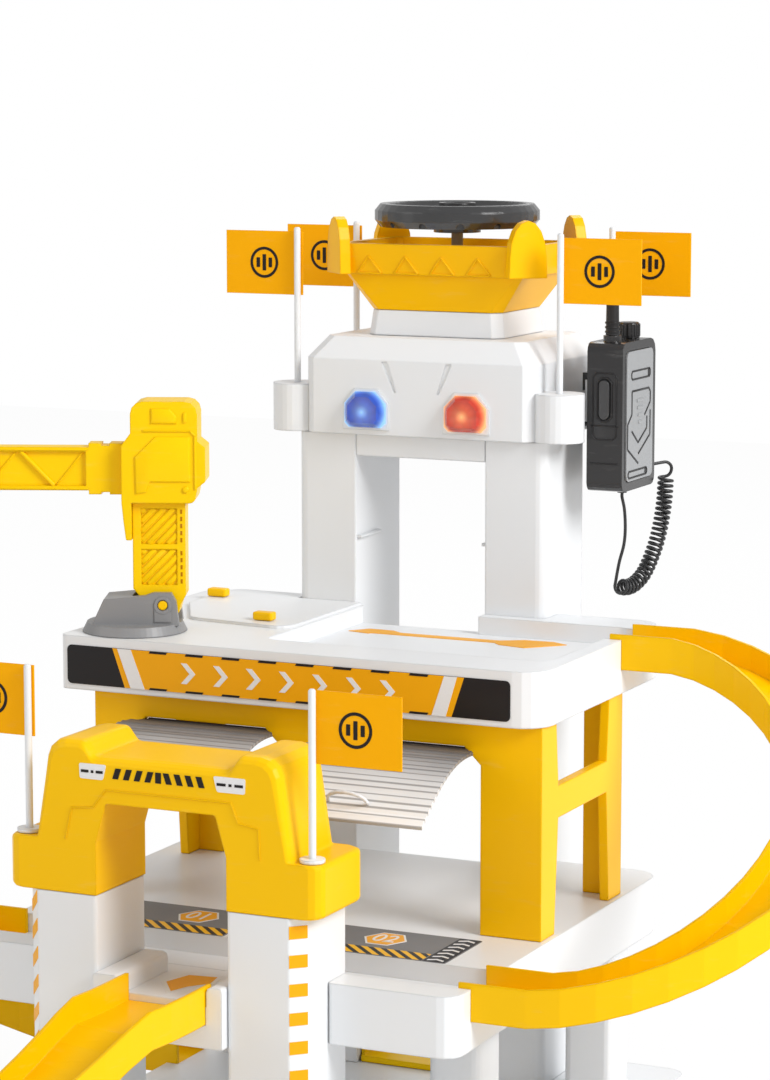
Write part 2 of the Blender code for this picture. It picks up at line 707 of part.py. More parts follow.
def make_porch(b):
    inner_left = GATE_X - PASSAGE_HALF + GAP
    inner_right = GATE_X + PASSAGE_HALF - GAP
    lane_left = LANE_X - LANE_WIDTH / 2
    lane_right = LANE_X + LANE_WIDTH / 2
    corners = [
        (inner_left, MID_BOTTOM), (inner_right, MID_BOTTOM), (inner_right, MID_TOP), (lane_right, MID_TOP),
        (lane_right, MID_LANE), (lane_left, MID_LANE), (lane_left, MID_TOP), (inner_left, MID_TOP)]
    outline = rounded(corners, [0, 0, 0.002, 0.003, 0, 0, 0.003, 0.002], 2)
    porch = b.solid("porch", outline_mesh("porch", outline, PORCH_FRONT, MID_FRONT - GAP, "Y"), WHITE)
    low = MID_LANE - FRONT_RAMP_STEP - RAMP_FLOOR_LIFT - GAP
    half = FRONT_RAMP_WIDTH / 2 + GAP
    b.cut(porch, box_mesh(
        "seat", (LANE_X - half, PORCH_FRONT - 0.01, low), (LANE_X + half, PORCH_FRONT + RAMP_SEAT + GAP, MID_TOP + 0.01)), "seat")
    b.cut(porch, box_mesh(
        "hollow", (inner_left + DECK_WALL, PORCH_FRONT + DECK_WALL + RAMP_SEAT, MID_BOTTOM - 0.01),
        (inner_right - DECK_WALL, MID_FRONT - GAP - DECK_WALL, MID_LANE - DECK_WALL)), "underside")
    mouth_front = RAMP_FRONT_Y - RAMP_WIDTH / 2 - GAP
    for side, start, end in (("right", lane_right - 0.001, inner_right + 0.01), ("left", inner_left - 0.01, lane_left + 0.001)):
        b.cut(porch, box_mesh("mouth", (start, mouth_front, MID_LANE), (end, MID_FRONT, MID_TOP + 0.01)), "mouth_" + side)


def smooth(share):
    return share * share * (3 - 2 * share)


def ramp_path(start, heading, lead, radius, bulge, turn, tail, end_z, steps, level_run, ease):
    """Stations of a ramp: a straight lead, a turn and a straight tail, coming down from the start to end_z.

    The turn is half an ellipse, or a part of one: radius across it and bulge along the lead. Each station is
    (x, y, floor height, heading).
    """
    x, y, start_z = start
    side = 1 if turn > 0 else -1
    ahead = Vector((math.cos(heading), math.sin(heading)))
    across = side * Vector((-ahead.y, ahead.x))
    corner = Vector((x, y)) + lead * ahead
    spots = [Vector((x, y)), Vector((x, y)) + lead * 0.5 * ahead, corner]
    headings = [heading] * 3
    for step in range(1, steps + 1):
        angle = abs(turn) * step / steps
        spots.append(corner + radius * (1 - math.cos(angle)) * across + bulge * math.sin(angle) * ahead)
        along = radius * math.sin(angle) * across + bulge * math.cos(angle) * ahead
        headings.append(math.atan2(along.y, along.x))
    last = Vector((math.cos(headings[-1]), math.sin(headings[-1])))
    for share in (0.5, 1.0):
        spots.append(spots[2 + steps] + last * tail * share)
        headings.append(headings[-1])
    reached = [0.0]
    for first, second in zip(spots, spots[1:]):
        reached.append(reached[-1] + (second - first).length)
    total = reached[-1]
    stations = []
    for spot, distance, facing in zip(spots, reached, headings):
        share = min(1.0, max(0.0, (distance - level_run) / (total - 2 * level_run)))
        share = (1 - ease) * share + ease * smooth(share)
        stations.append((spot.x, spot.y, start_z + (end_z - start_z) * share, facing))
    return stations


def ramp_mesh(name, stations, width):
    """The channel swept along the stations, its walls upright."""
    half = width / 2
    low = -RAMP_FLOOR_LIFT
    high = RAMP_HEIGHT - RAMP_FLOOR_LIFT
    section = [
        (-half, low), (-half + RAMP_WALL, low), (-half + RAMP_WALL, -RAMP_WALL), (half - RAMP_WALL, -RAMP_WALL),
        (half - RAMP_WALL, low), (half, low), (half, high), (half - RAMP_WALL, high), (half - RAMP_WALL, 0.0),
        (-half + RAMP_WALL, 0.0), (-half + RAMP_WALL, high), (-half, high)]
    rings = []
    for x, y, z, facing in stations:
        across = Vector((-math.sin(facing), math.cos(facing)))
        rings.append([(x + across.x * offset, y + across.y * offset, z + lift) for offset, lift in section])
    return loft_mesh(name, rings)


def make_ramps(b):
    edge = DECK_HALF_WIDTH
    radius = (RAMP_REAR_Y - RAMP_FRONT_Y) / 2
    lead = RAMP_SEAT + RAMP_LEAD
    stations = ramp_path(
        (edge - RAMP_SEAT, RAMP_REAR_Y, DECK_LANE - RAMP_STEP), 0.0, lead, radius, RAMP_BULGE, -math.pi, lead,
        MID_LANE - RAMP_STEP, 22, RAMP_LEVEL_RUN, RAMP_EASE)
    b.solid("right_ramp", ramp_mesh("right_ramp", stations, RAMP_WIDTH), YELLOW)
    stations = ramp_path(
        (-edge + RAMP_SEAT, RAMP_FRONT_Y, MID_LANE - RAMP_STEP), math.pi, lead, radius, RAMP_BULGE, -math.pi, lead,
        BASE_TOP - RAMP_STEP, 22, RAMP_LEVEL_RUN, RAMP_EASE)
    b.solid("left_ramp", ramp_mesh("left_ramp", stations, RAMP_WIDTH), YELLOW)
    stations = ramp_path(
        (LANE_X, PORCH_FRONT + RAMP_SEAT, MID_LANE - FRONT_RAMP_STEP), -math.pi / 2, RAMP_SEAT + FRONT_RAMP_LEAD,
        FRONT_RAMP_RADIUS, FRONT_RAMP_RADIUS, -FRONT_RAMP_TURN, FRONT_RAMP_RUNOUT, RAMP_FLOOR_LIFT, 16,
        FRONT_RAMP_LEVEL_RUN, FRONT_RAMP_EASE)
    b.solid("front_ramp", ramp_mesh("front_ramp", stations, FRONT_RAMP_WIDTH), YELLOW)


def make_leg_frame(b):
    low = MID_TOP + GAP
    top = FRAME_TOP
    post = BAY_INNER
    corners = [
        (FRAME_LEFT, low), (-BAY_OUTER, low), (-BAY_OUTER, BAY_TOP - BAY_CHAMFER),
        (-BAY_OUTER + BAY_CHAMFER, BAY_TOP), (-post - BAY_CHAMFER, BAY_TOP), (-post, BAY_TOP - BAY_CHAMFER), (-post, low),
        (post, low), (post, BAY_TOP - BAY_CHAMFER), (post + BAY_CHAMFER, BAY_TOP),
        (BAY_OUTER - BAY_CHAMFER, BAY_TOP), (BAY_OUTER, BAY_TOP - BAY_CHAMFER), (BAY_OUTER, low),
        (FRAME_RIGHT, low), (FRAME_RIGHT, top), (FRAME_LEFT, top)]
    frame = b.solid("leg_frame", outline_mesh("leg_frame", corners, FRAME_FRONT, FRAME_FRONT + FRAME_WALL, "Y"), YELLOW)
    bar_top = top - CROSSBAR_DROP
    bar_low = bar_top - CROSSBAR_HEIGHT
    front = FRAME_FRONT
    rear = FRAME_REAR
    rise = 0.012
    side = [
        (front, low), (front + SIDE_LEG_FOOT * 0.6, low), (front + SIDE_LEG_TOP, bar_low), (rear - SIDE_LEG_TOP, bar_low),
        (rear - SIDE_LEG_FOOT * 0.6, low), (rear, low), (rear, top), (rear - SIDE_LEG_TOP + 0.004, top),
        (rear - SIDE_LEG_TOP, bar_top), (front + SIDE_LEG_TOP, bar_top), (front + SIDE_LEG_TOP - 0.004, top), (front, top)]
    for start, end in ((FRAME_LEFT, FRAME_LEFT + FRAME_WALL), (FRAME_RIGHT - FRAME_WALL, FRAME_RIGHT)):
        b.join(frame, outline_mesh("side", side, start, end, "X"), "side")
    for x in (FRAME_LEFT, FRAME_RIGHT - rise * 2):
        b.join(frame, box_mesh("rear_leg", (x, rear - FRAME_WALL, low), (x + rise * 2, rear, top)), "rear_leg")
    pin = DOOR_PIN_RADIUS + GAP
    reach = door_pin_reach() + GAP
    for side, sign in PLUS_SIDE:
        middle = sign * (BAY_INNER + BAY_OUTER) / 2
        start = (middle - reach, DOOR_AXIS_Y, DOOR_AXIS_Z)
        end = (middle + reach, DOOR_AXIS_Y, DOOR_AXIS_Z)
        b.cut(frame, rod_mesh("pin_hole", start, end, pin, 12), "pin_hole")
    soften(frame, 0.0012, 1, 50)


def door_line(share):
    """The door's middle line from its hinge, in the open position: (outward, down)."""
    bow = 0.012 * math.sin(math.pi * share)
    return share * DOOR_REACH, share * DOOR_DROP - bow


def door_rows(shift):
    """The door's section at its width: (y, z, share of the way out) from the hinge to the outer end."""
    rows = []
    count = DOOR_RIBS * 2
    for step in range(count + 1):
        share = step / count
        out, down = door_line(share)
        rib = DOOR_RIB_HEIGHT if step % 2 and shift > 0 else 0.0
        rows.append((DOOR_AXIS_Y - out, DOOR_AXIS_Z - down + shift + rib, share))
    return rows


def door_mesh(name, middle):
    """A bowed, ribbed sheet with cut corners at its hinge side."""
    half = BAY_WIDTH / 2 - 0.001
    narrow = half - BAY_CHAMFER
    upper = door_rows(DOOR_THICKNESS / 2)
    lower = door_rows(-DOOR_THICKNESS / 2)
    sections = []
    for top, bottom in zip(upper, lower):
        reach = min(half, narrow + (half - narrow) * top[2] * DOOR_REACH / DOOR_SHOULDER)
        sections.append([
            (middle - reach, top[0], top[1]), (middle + reach, top[0], top[1]),
            (middle + reach, bottom[0], bottom[1]), (middle - reach, bottom[0], bottom[1])])
    return loft_mesh(name, sections)


def make_doors(b):
    for side, sign in PLUS_SIDE:
        name = "door_" + side
        middle = sign * (BAY_INNER + BAY_OUTER) / 2
        door = b.solid(name, door_mesh(name, middle), GREY, 0.3)
        edge = BAY_WIDTH / 2 - BAY_CHAMFER + DOOR_HINGE_DROP - DOOR_BARREL_RADIUS * 1.5
        start = (middle - edge, DOOR_AXIS_Y, DOOR_AXIS_Z)
        end = (middle + edge, DOOR_AXIS_Y, DOOR_AXIS_Z)
        b.join(door, rod_mesh("barrel", start, end, DOOR_BARREL_RADIUS, 12), "barrel")
        reach = door_pin_reach() - GAP
        start = (middle - reach, DOOR_AXIS_Y, DOOR_AXIS_Z)
        end = (middle + reach, DOOR_AXIS_Y, DOOR_AXIS_Z)
        b.join(door, rod_mesh("pin", start, end, DOOR_PIN_RADIUS, 12), "pin")
        make_door_handle(b, side, middle)


def door_pin_reach():
    """How far from the door's middle its hinge pins go into the frame."""
    return BAY_WIDTH / 2 - BAY_CHAMFER + DOOR_HINGE_DROP + DOOR_PIN_LENGTH


def make_door_handle(b, side, middle):
    """A small bow on the door's outer end, standing square to the door."""
    out, down = door_line(HANDLE_SHARE)
    ahead_out, ahead_down = door_line(HANDLE_SHARE + 0.01)
    along = Vector((0, out - ahead_out, down - ahead_down)).normalized()
    square = Vector((0, along.z, -along.y)).normalized()
    foot = Vector((middle, DOOR_AXIS_Y - out, DOOR_AXIS_Z - down))
    foot += square * (DOOR_THICKNESS / 2 + DOOR_RIB_HEIGHT + GAP)
    points = [foot + Vector((-HANDLE_HALF_WIDTH, 0, 0))]
    for step in range(9):
        angle = math.pi * step / 8
        rise = HANDLE_RADIUS + (HANDLE_RISE - 2 * HANDLE_RADIUS) * math.sin(angle)
        points.append(foot + Vector((-HANDLE_HALF_WIDTH * math.cos(angle), 0, 0)) + square * rise)
    points.append(foot + Vector((HANDLE_HALF_WIDTH, 0, 0)))
    name = "door_handle_" + side
    b.solid(name, tube_mesh(name, points, HANDLE_RADIUS, 2), WHITE, 0.3)


def tube_mesh(name, points, radius, resolution):
    """A round tube along points, as a closed mesh."""
    curve = bpy.data.curves.new(name, "CURVE")
    curve.dimensions = "3D"
    curve.bevel_depth = radius
    curve.bevel_resolution = resolution
    curve.use_fill_caps = True
    spline = curve.splines.new("POLY")
    spline.points.add(len(points) - 1)
    for point, spot in zip(spline.points, points):
        point.co = (*spot, 1.0)
    guide = bpy.data.objects.new(name, curve)
    bpy.context.scene.collection.objects.link(guide)
    bpy.context.view_layer.update()
    mesh = bpy.data.meshes.new_from_object(guide.evaluated_get(bpy.context.evaluated_depsgraph_get()))
    bpy.data.objects.remove(guide)
    bpy.data.curves.remove(curve)
    work = bmesh.new()
    work.from_mesh(mesh)
    bmesh.ops.remove_doubles(work, verts=work.verts, dist=0.000001)
    bmesh.ops.recalc_face_normals(work, faces=work.faces)
    work.to_mesh(mesh)
    work.free()
    mesh.name = name
    mesh.shade_smooth()
    mesh.set_sharp_from_angle(angle=math.radians(50))
    return mesh


def make_tower(b):
    low = BASE_TOP + GAP
    high = HEAD_BOTTOM - GAP
    for side, sign in PLUS_SIDE:
        inner = sign * SHAFT_HALF
        outer = sign * TOWER_HALF_WIDTH
        left, right = min(inner, outer), max(inner, outer)
        corners = rectangle(left, right, TOWER_FRONT, TOWER_REAR)
        radii = [0.001, TOWER_CORNER, TOWER_CORNER, 0.001] if sign > 0 else [TOWER_CORNER, 0.001, 0.001, TOWER_CORNER]
        name = "tower_pier_" + side
        pier = b.solid(name, outline_mesh(name, rounded(corners, radii), low, high), WHITE)
        hollow = rectangle(left + TOWER_WALL, right - TOWER_WALL, TOWER_FRONT + TOWER_WALL, TOWER_REAR - TOWER_WALL)
        b.cut(pier, outline_mesh("hollow", hollow, 0.0, high - TOWER_WALL), "hollow")
        ledge = sorted((inner + sign * 0.0005, inner - sign * STOP_LEDGE_REACH))
        b.join(pier, box_mesh(
            "ledge", (ledge[0], TOWER_FRONT + 0.002, STOP_LEDGE_Z),
            (ledge[1], TOWER_FRONT + 0.002 + STOP_LEDGE_LENGTH, STOP_LEDGE_Z + STOP_LEDGE_HEIGHT)), "ledge")
    lintel_low = HEAD_BOTTOM - LINTEL_HEIGHT
    b.solid("tower_lintel", box_mesh(
        "tower_lintel", (-SHAFT_HALF + GAP, TOWER_FRONT + 0.0005, lintel_low),
        (SHAFT_HALF - GAP, TOWER_FRONT + 0.006, high)), WHITE)


def chamfered(half_x, half_y, chamfer, centre_y, z):
    corners = [
        (half_x, -half_y + chamfer), (half_x, half_y - chamfer), (half_x - chamfer, half_y), (-half_x + chamfer, half_y),
        (-half_x, half_y - chamfer), (-half_x, -half_y + chamfer), (-half_x + chamfer, -half_y), (half_x - chamfer, -half_y)]
    return [(x, centre_y + y, z) for x, y in corners]


def make_head(b):
    half_y = HEAD_DEPTH / 2
    centre_y = HEAD_FRONT + half_y
    eave = HEAD_BOTTOM + HEAD_HEIGHT
    sections = [
        chamfered(HEAD_HALF_WIDTH, half_y, HEAD_CORNER, centre_y, HEAD_BOTTOM),
        chamfered(HEAD_HALF_WIDTH, half_y, HEAD_CORNER, centre_y, eave),
        chamfered(HEAD_HALF_WIDTH - ROOF_INSET, half_y - ROOF_INSET, HEAD_CORNER, centre_y, ROOF_Z)]
    head = b.solid("tower_head", loft_mesh("tower_head", sections), WHITE)
    for side, sign in PLUS_SIDE:
        for y in HOLDER_YS:
            b.join(head, rod_mesh(
                "holder", (sign * HOLDER_X, y, HEAD_BOTTOM), (sign * HOLDER_X, y, HEAD_BOTTOM + HOLDER_HEIGHT),
                HOLDER_RADIUS, 28), "holder")
    inner = [
        (x, y) for x, y, z in chamfered(HEAD_HALF_WIDTH - 3 * HEAD_WALL, half_y - 3 * HEAD_WALL, 0.004, centre_y, 0.0)]
    b.cut(head, outline_mesh("hollow", inner, HEAD_BOTTOM - 0.02, eave - HEAD_WALL), "hollow")
    spindle = SPINDLE_RADIUS + SLIDE_GAP
    b.cut(head, rod_mesh("spindle_hole", (0, WHEEL_Y, HEAD_BOTTOM), (0, WHEEL_Y, ROOF_Z + 0.01), spindle, 24), "spindle_hole")
    for side, sign in PLUS_SIDE:
        for y in HOLDER_YS:
            top = HEAD_BOTTOM + HOLDER_HEIGHT
            b.cut(head, rod_mesh(
                "pole_socket", (sign * HOLDER_X, y, top - POLE_SOCKET), (sign * HOLDER_X, y, top + 0.01),
                POLE_RADIUS + GAP, 16), "pole_socket")
    for sign in (-1, 1):
        b.cut(head, lamp_solid("lamp_pocket", sign * LAMP_X, GAP, 0.003, LAMP_DEPTH), "lamp_pocket")
    groove = 0.0008
    for sign in (-1, 1):
        facet = [(sign * 0.0255, eave - 0.001), (sign * 0.0215, eave - 0.001), (sign * 0.0150, eave - 0.021), (sign * 0.0165, eave - 0.021)]
        b.cut(head, outline_mesh("facet", facet, HEAD_FRONT - 0.01, HEAD_FRONT + groove, "Y"), "facet")
    for side, sign in PLUS_SIDE:
        for row, y in enumerate(HOLDER_YS):
            place_name = ("front_", "rear_")[row] + side
            low = HEAD_BOTTOM + HOLDER_HEIGHT - POLE_SOCKET + GAP
            make_pole(b, "pole_" + place_name, sign * HOLDER_X, y, low, POLE_TOP)
            make_flag(b, "flag_" + place_name, sign * HOLDER_X, y, POLE_TOP - 0.003, sign)
    for name, sign, colour in (("lens_blue", -1, (0.02, 0.12, 0.85)), ("lens_red", 1, (0.85, 0.08, 0.02))):
        b.solid(name, lamp_solid(name, sign * LAMP_X, 0.0, 0.003 - GAP, LAMP_DEPTH), colour, 0.15)


def lamp_solid(name, x, grow, sunk, stand):
    """An eight-sided lamp, flat at the bottom, standing out of the head's front."""
    low = HEAD_BOTTOM + LAMP_BOTTOM_LIFT
    half = LAMP_WIDTH / 2
    cut_top = 0.008
    cut_low = 0.003
    outline = [
        (-half, cut_low), (-half + cut_low, 0), (half - cut_low, 0), (half, cut_low), (half, LAMP_HEIGHT - cut_top),
        (half - cut_top, LAMP_HEIGHT), (-half + cut_top, LAMP_HEIGHT), (-half, LAMP_HEIGHT - cut_top)]
    middle = LAMP_HEIGHT / 2
    sections = []
    for depth, share in ((sunk, 1.0), (-stand * 0.45, 1.0), (-stand, 0.72)):
        ring = []
        for across, up in outline:
            size = share + (grow / half)
            ring.append((x + across * size, HEAD_FRONT + depth, low + middle + (up - middle) * size))
        sections.append(ring)
    return loft_mesh(name, sections)


def make_helipad(b):
    collar_low = chamfered(
        COLLAR_HALF_X + COLLAR_FLARE, COLLAR_HALF_Y + COLLAR_FLARE, COLLAR_CHAMFER, PAD_Y, ROOF_Z + GAP)
    collar_high = chamfered(COLLAR_HALF_X, COLLAR_HALF_Y, COLLAR_CHAMFER, PAD_Y, COLLAR_TOP)
    collar = b.solid("helipad_collar", loft_mesh("helipad_collar", [collar_low, collar_high]), WHITE)
    inner = TRAY_WALL
    hollow = [(x, y) for x, y, z in chamfered(COLLAR_HALF_X - inner, COLLAR_HALF_Y - inner, COLLAR_CHAMFER, PAD_Y, 0)]
    b.cut(collar, outline_mesh("hollow", hollow, ROOF_Z - 0.01, COLLAR_TOP - inner), "hollow")
    b.cut(collar, rod_mesh(
        "spindle_hole", (0, WHEEL_Y, ROOF_Z), (0, WHEEL_Y, COLLAR_TOP + 0.01), SPINDLE_RADIUS + SLIDE_GAP), "spindle_hole")
    low = COLLAR_TOP + GAP
    sections = [
        chamfered(COLLAR_HALF_X, COLLAR_HALF_Y, COLLAR_CHAMFER, PAD_Y, low),
        chamfered(TRAY_HALF_X - 0.002, TRAY_HALF_Y - 0.002, TRAY_CORNER, PAD_Y, TRAY_BOTTOM),
        chamfered(TRAY_HALF_X, TRAY_HALF_Y, TRAY_CORNER, PAD_Y, TRAY_BOTTOM + 0.0004),
        chamfered(TRAY_HALF_X + TRAY_LEAN, TRAY_HALF_Y + TRAY_LEAN, TRAY_CORNER, PAD_Y, TRAY_TOP)]
    tray = b.solid("helipad", loft_mesh("helipad", sections), LIGHT_YELLOW)
    for x_sign in (-1, 1):
        for y_sign in (-1, 1):
            b.join(tray, fin_mesh(x_sign, y_sign), "fin")
    floor = TRAY_BOTTOM + 0.006
    well = [(x, y) for x, y, z in chamfered(TRAY_HALF_X - TRAY_WALL, TRAY_HALF_Y - TRAY_WALL, TRAY_CORNER, PAD_Y, 0)]
    b.cut(tray, outline_mesh("well", well, floor, TRAY_TOP + FIN_TOP_RISE + 0.01), "well")
    b.cut(tray, rod_mesh("spindle_hole", (0, WHEEL_Y, low - 0.01), (0, WHEEL_Y, floor + 0.01), SPINDLE_RADIUS + SLIDE_GAP), "spindle_hole")
    under = [
        chamfered(COLLAR_HALF_X - TRAY_WALL, COLLAR_HALF_Y - TRAY_WALL, COLLAR_CHAMFER, PAD_Y, low - 0.001),
        chamfered(TRAY_HALF_X - 0.002 - TRAY_WALL, TRAY_HALF_Y - 0.002 - TRAY_WALL, TRAY_CORNER, PAD_Y, TRAY_BOTTOM + 0.002)]
    b.cut(tray, loft_mesh("under", under), "under")


def fin_mesh(x_sign, y_sign):
    """A corner fin: a plate across the corner, with a rounded top."""
    low = TRAY_BOTTOM + 0.0004
    high = TRAY_TOP + FIN_TOP_RISE
    half = FIN_WIDTH / 2
    shoulder = high - FIN_ROUND
    outline = [(-half, low), (half, low)]
    for step in range(9):
        angle = math.pi * step / 8
        outline.append((half * 0.96 * math.cos(angle), shoulder + FIN_ROUND * math.sin(angle)))
    mesh = outline_mesh("fin", outline, -FIN_THICKNESS / 2, FIN_THICKNESS / 2, "Y")
    facing = math.atan2(y_sign, x_sign) + math.pi / 2
    out = (FIN_THICKNESS / 2 - 0.0008) / math.sqrt(2)
    x = TRAY_HALF_X - TRAY_CORNER / 2 + out + FIN_SHIFT
    y = TRAY_HALF_Y - TRAY_CORNER / 2 + out - FIN_SHIFT
    spot = Matrix.Translation((x_sign * x, PAD_Y + y_sign * y, 0))
    return moved(mesh, spot @ Matrix.Rotation(facing, 4, "Z"))


def make_handwheel(b):
    """The wheel on the helipad, its spindle and the winding drum inside the head."""
    low = TRAY_TOP + WHEEL_LIFT
    outer = WHEEL_RADIUS
    inner = outer - WHEEL_BAND
    middle = (outer + inner) / 2
    high = low + WHEEL_HEIGHT
    ring = []
    for step in range(8):
        angle = math.tau * step / 8 + math.tau / 16
        swell = 1 / math.cos(math.pi / 8)
        across = (outer - inner) / 2 * swell * math.cos(angle)
        ring.append((middle + across, low + WHEEL_HEIGHT / 2 + WHEEL_HEIGHT / 2 * swell * math.sin(angle)))
    turns = 44
    work = bmesh.new()
    rings = []
    for step in range(turns):
        angle = math.tau * step / turns
        rings.append([work.verts.new((r * math.cos(angle), WHEEL_Y + r * math.sin(angle), z)) for r, z in ring])
    for step in range(turns):
        before = rings[step]
        after = rings[(step + 1) % turns]
        for index in range(8):
            other = (index + 1) % 8
            work.faces.new((before[index], before[other], after[other], after[index]))
    bmesh.ops.recalc_face_normals(work, faces=work.faces)
    mesh = bpy.data.meshes.new("handwheel")
    work.to_mesh(mesh)
    work.free()
    mesh.shade_smooth()
    wheel = b.solid("handwheel", mesh, BLACK, 0.4)
    for grip in range(WHEEL_GRIPS):
        turn = Matrix.Translation((0, WHEEL_Y, 0)) @ Matrix.Rotation(math.tau * (grip / WHEEL_GRIPS) - math.radians(64), 4, "Z")
        notch = rod_mesh(
            "grip", (outer - WHEEL_GRIP_DEPTH, 0, low + GRIP_RADIUS * 0.5), (outer + 0.004, 0, low + GRIP_RADIUS * 0.5), GRIP_RADIUS, 12)
        b.cut(wheel, moved(notch, turn), "grip")
    spoke_low = low + 0.002
    for quarter in range(2):
        turn = Matrix.Translation((0, WHEEL_Y, 0)) @ Matrix.Rotation(math.pi / 2 * quarter + math.pi / 4, 4, "Z")
        reach = inner + WHEEL_BAND * 0.35
        spoke = box_mesh("spoke", (-reach, -SPOKE_WIDTH / 2, spoke_low), (reach, SPOKE_WIDTH / 2, spoke_low + SPOKE_HEIGHT))
        b.join(wheel, moved(spoke, turn), "spoke")
    hub_low = low - 0.004
    b.join(wheel, rod_mesh("hub", (0, WHEEL_Y, hub_low), (0, WHEEL_Y, spoke_low + SPOKE_HEIGHT + 0.002), HUB_RADIUS, 28), "hub")
    top = HEAD_BOTTOM + HEAD_HEIGHT - 0.006
    profile = [
        (0.0, hub_low - GAP), (SPINDLE_RADIUS, hub_low - GAP), (SPINDLE_RADIUS, top), (DRUM_FLANGE, top),
        (DRUM_FLANGE, top - 0.0015), (DRUM_RADIUS, top - 0.0015), (DRUM_RADIUS, top - 0.0015 - DRUM_WIDTH),
        (DRUM_FLANGE, top - 0.0015 - DRUM_WIDTH), (DRUM_FLANGE, top - 0.003 - DRUM_WIDTH), (0.0, top - 0.003 - DRUM_WIDTH)]
    turned("winding_drum", profile, (0, WHEEL_Y, 0), b.parts, GREY, 24)


def make_lift_car(b):
    low = BASE_TOP + 0.0005
    front = TOWER_FRONT + (TOWER_DEPTH - CAR_DEPTH) / 2
    rear = front + CAR_DEPTH
    corners = rectangle(-CAR_HALF_WIDTH, CAR_HALF_WIDTH, front, rear)
    car = b.solid("lift_car", outline_mesh("lift_car", rounded(corners, 0.002, 2), low, low + CAR_FLOOR), LIGHT_YELLOW)
    for sign in (-1, 1):
        edge = sorted((sign * CAR_HALF_WIDTH, sign * (CAR_HALF_WIDTH - CAR_WALL)))
        b.join(car, box_mesh("lip", (edge[0], front + 0.003, low + 0.001), (edge[1], rear - 0.003, low + CAR_FLOOR + CAR_LIP)), "lip")
    outer = CAR_HALF_WIDTH - 0.0004
    inner = outer - CAR_WALL * 1.6
    top = low + CAR_HEIGHT
    hoop = [
        (-outer, low + 0.001), (-inner, low + 0.001), (-inner, top - 0.008), (-inner + 0.006, top - 0.004),
        (inner - 0.006, top - 0.004), (inner, top - 0.008), (inner, low + 0.001), (outer, low + 0.001), (outer, top), (-outer, top)]
    middle = (front + rear) / 2
    b.join(car, outline_mesh("hoop", hoop, middle - CAR_HOOP_DEPTH / 2, middle + CAR_HOOP_DEPTH / 2, "Y"), "hoop")
    b.cut(car, rod_mesh("eye", (0, middle, top - 0.01), (0, middle, top + 0.01), 0.0012, 12), "eye")


def crane_place(group):
    """The crane's parent: +X points along the boom, and the axis stands at the turntable's centre."""
    pivot = bpy.data.objects.new("crane_axis", None)
    group.objects.link(pivot)
    pivot.location = (CRANE_X, CRANE_Y, DECK_TOP + GAP)
    pivot.rotation_euler = (0, 0, math.pi + CRANE_YAW)
    return pivot


def make_crane(b):
    pivot = crane_place(b.parts)
    rim = TURNTABLE_RIM
    turntable = b.solid("crane_turntable", rod_mesh("crane_turntable", (0, 0, 0), (0, 0, rim), TURNTABLE_RADIUS, 56, TURNTABLE_RADIUS - 0.003), GREY)
    half = MAST_THICKNESS / 2 + SLIDE_GAP
    outer = half + CHEEK_THICKNESS
    pin_x = MAST_OFFSET - CRANE_PIN_SETBACK
    top = rim + HULL_HEIGHT
    cheek = [
        (0.0265, rim - 0.001), (0.0185, top - 0.0045), (pin_x + 0.0115, top - 0.0020), (pin_x + 0.0060, top),
        (pin_x - 0.0055, top), (pin_x - 0.0085, top - 0.0055), (pin_x - 0.0105, rim - 0.001)]
    b.join(turntable, outline_mesh("hull", cheek, -outer, outer, "Y"), "hull")
    slot_front = MAST_OFFSET + MAST_WIDTH / 2 + SLIDE_GAP
    b.cut(turntable, box_mesh("slot", (-0.05, -half, rim), (slot_front, half, top + 0.01)), "slot")
    lift = CRANE_PIN_LIFT
    b.cut(turntable, rod_mesh("pin_hole", (pin_x, -0.05, lift), (pin_x, 0.05, lift), CRANE_PIN_RADIUS + GAP, 20), "pin_hole")
    pin = b.solid("crane_pin", rod_mesh("crane_pin", (pin_x, -outer - 0.0008, lift), (pin_x, outer + 0.0008, lift), CRANE_PIN_RADIUS, 20), YELLOW)
    mast = b.solid("crane_mast", crane_mast_mesh(), LIGHT_YELLOW)
    b.cut(mast, rod_mesh("pin_bore", (pin_x, -0.05, lift), (pin_x, 0.05, lift), CRANE_PIN_RADIUS + GAP, 20), "pin_bore")
    for panel_low, panel_high in crane_panels():
        for face in (-1, 1):
            start = face * MAST_THICKNESS / 2
            depth = sorted((start - face * 0.0015, start + face * 0.01))
            area = rectangle(
                MAST_OFFSET - MAST_WIDTH / 2 + 0.0055, MAST_OFFSET + MAST_WIDTH / 2 - 0.0055, panel_low, panel_high)
            b.cut(mast, outline_mesh("panel", area, depth[0], depth[1], "Y"), "panel")
    head = b.solid("crane_head", crane_head_mesh(), LIGHT_YELLOW)
    boom = b.solid("crane_boom", crane_boom_mesh(), LIGHT_YELLOW)
    shape_boom(b, boom)
    parts = [turntable, pin, mast, head, boom]
    parts += make_hook(b)
    for thing in parts:
        thing.parent = pivot
        for modifier in thing.modifiers:
            if modifier.type == "BOOLEAN":
                modifier.object.parent = pivot


def crane_panels():
    low = CRANE_PIN_LIFT + 0.0125
    high = MAST_TOP_LIFT - 0.004
    middle = (low + high) / 2
    return ((low, middle - 0.0018), (middle + 0.0018, high))


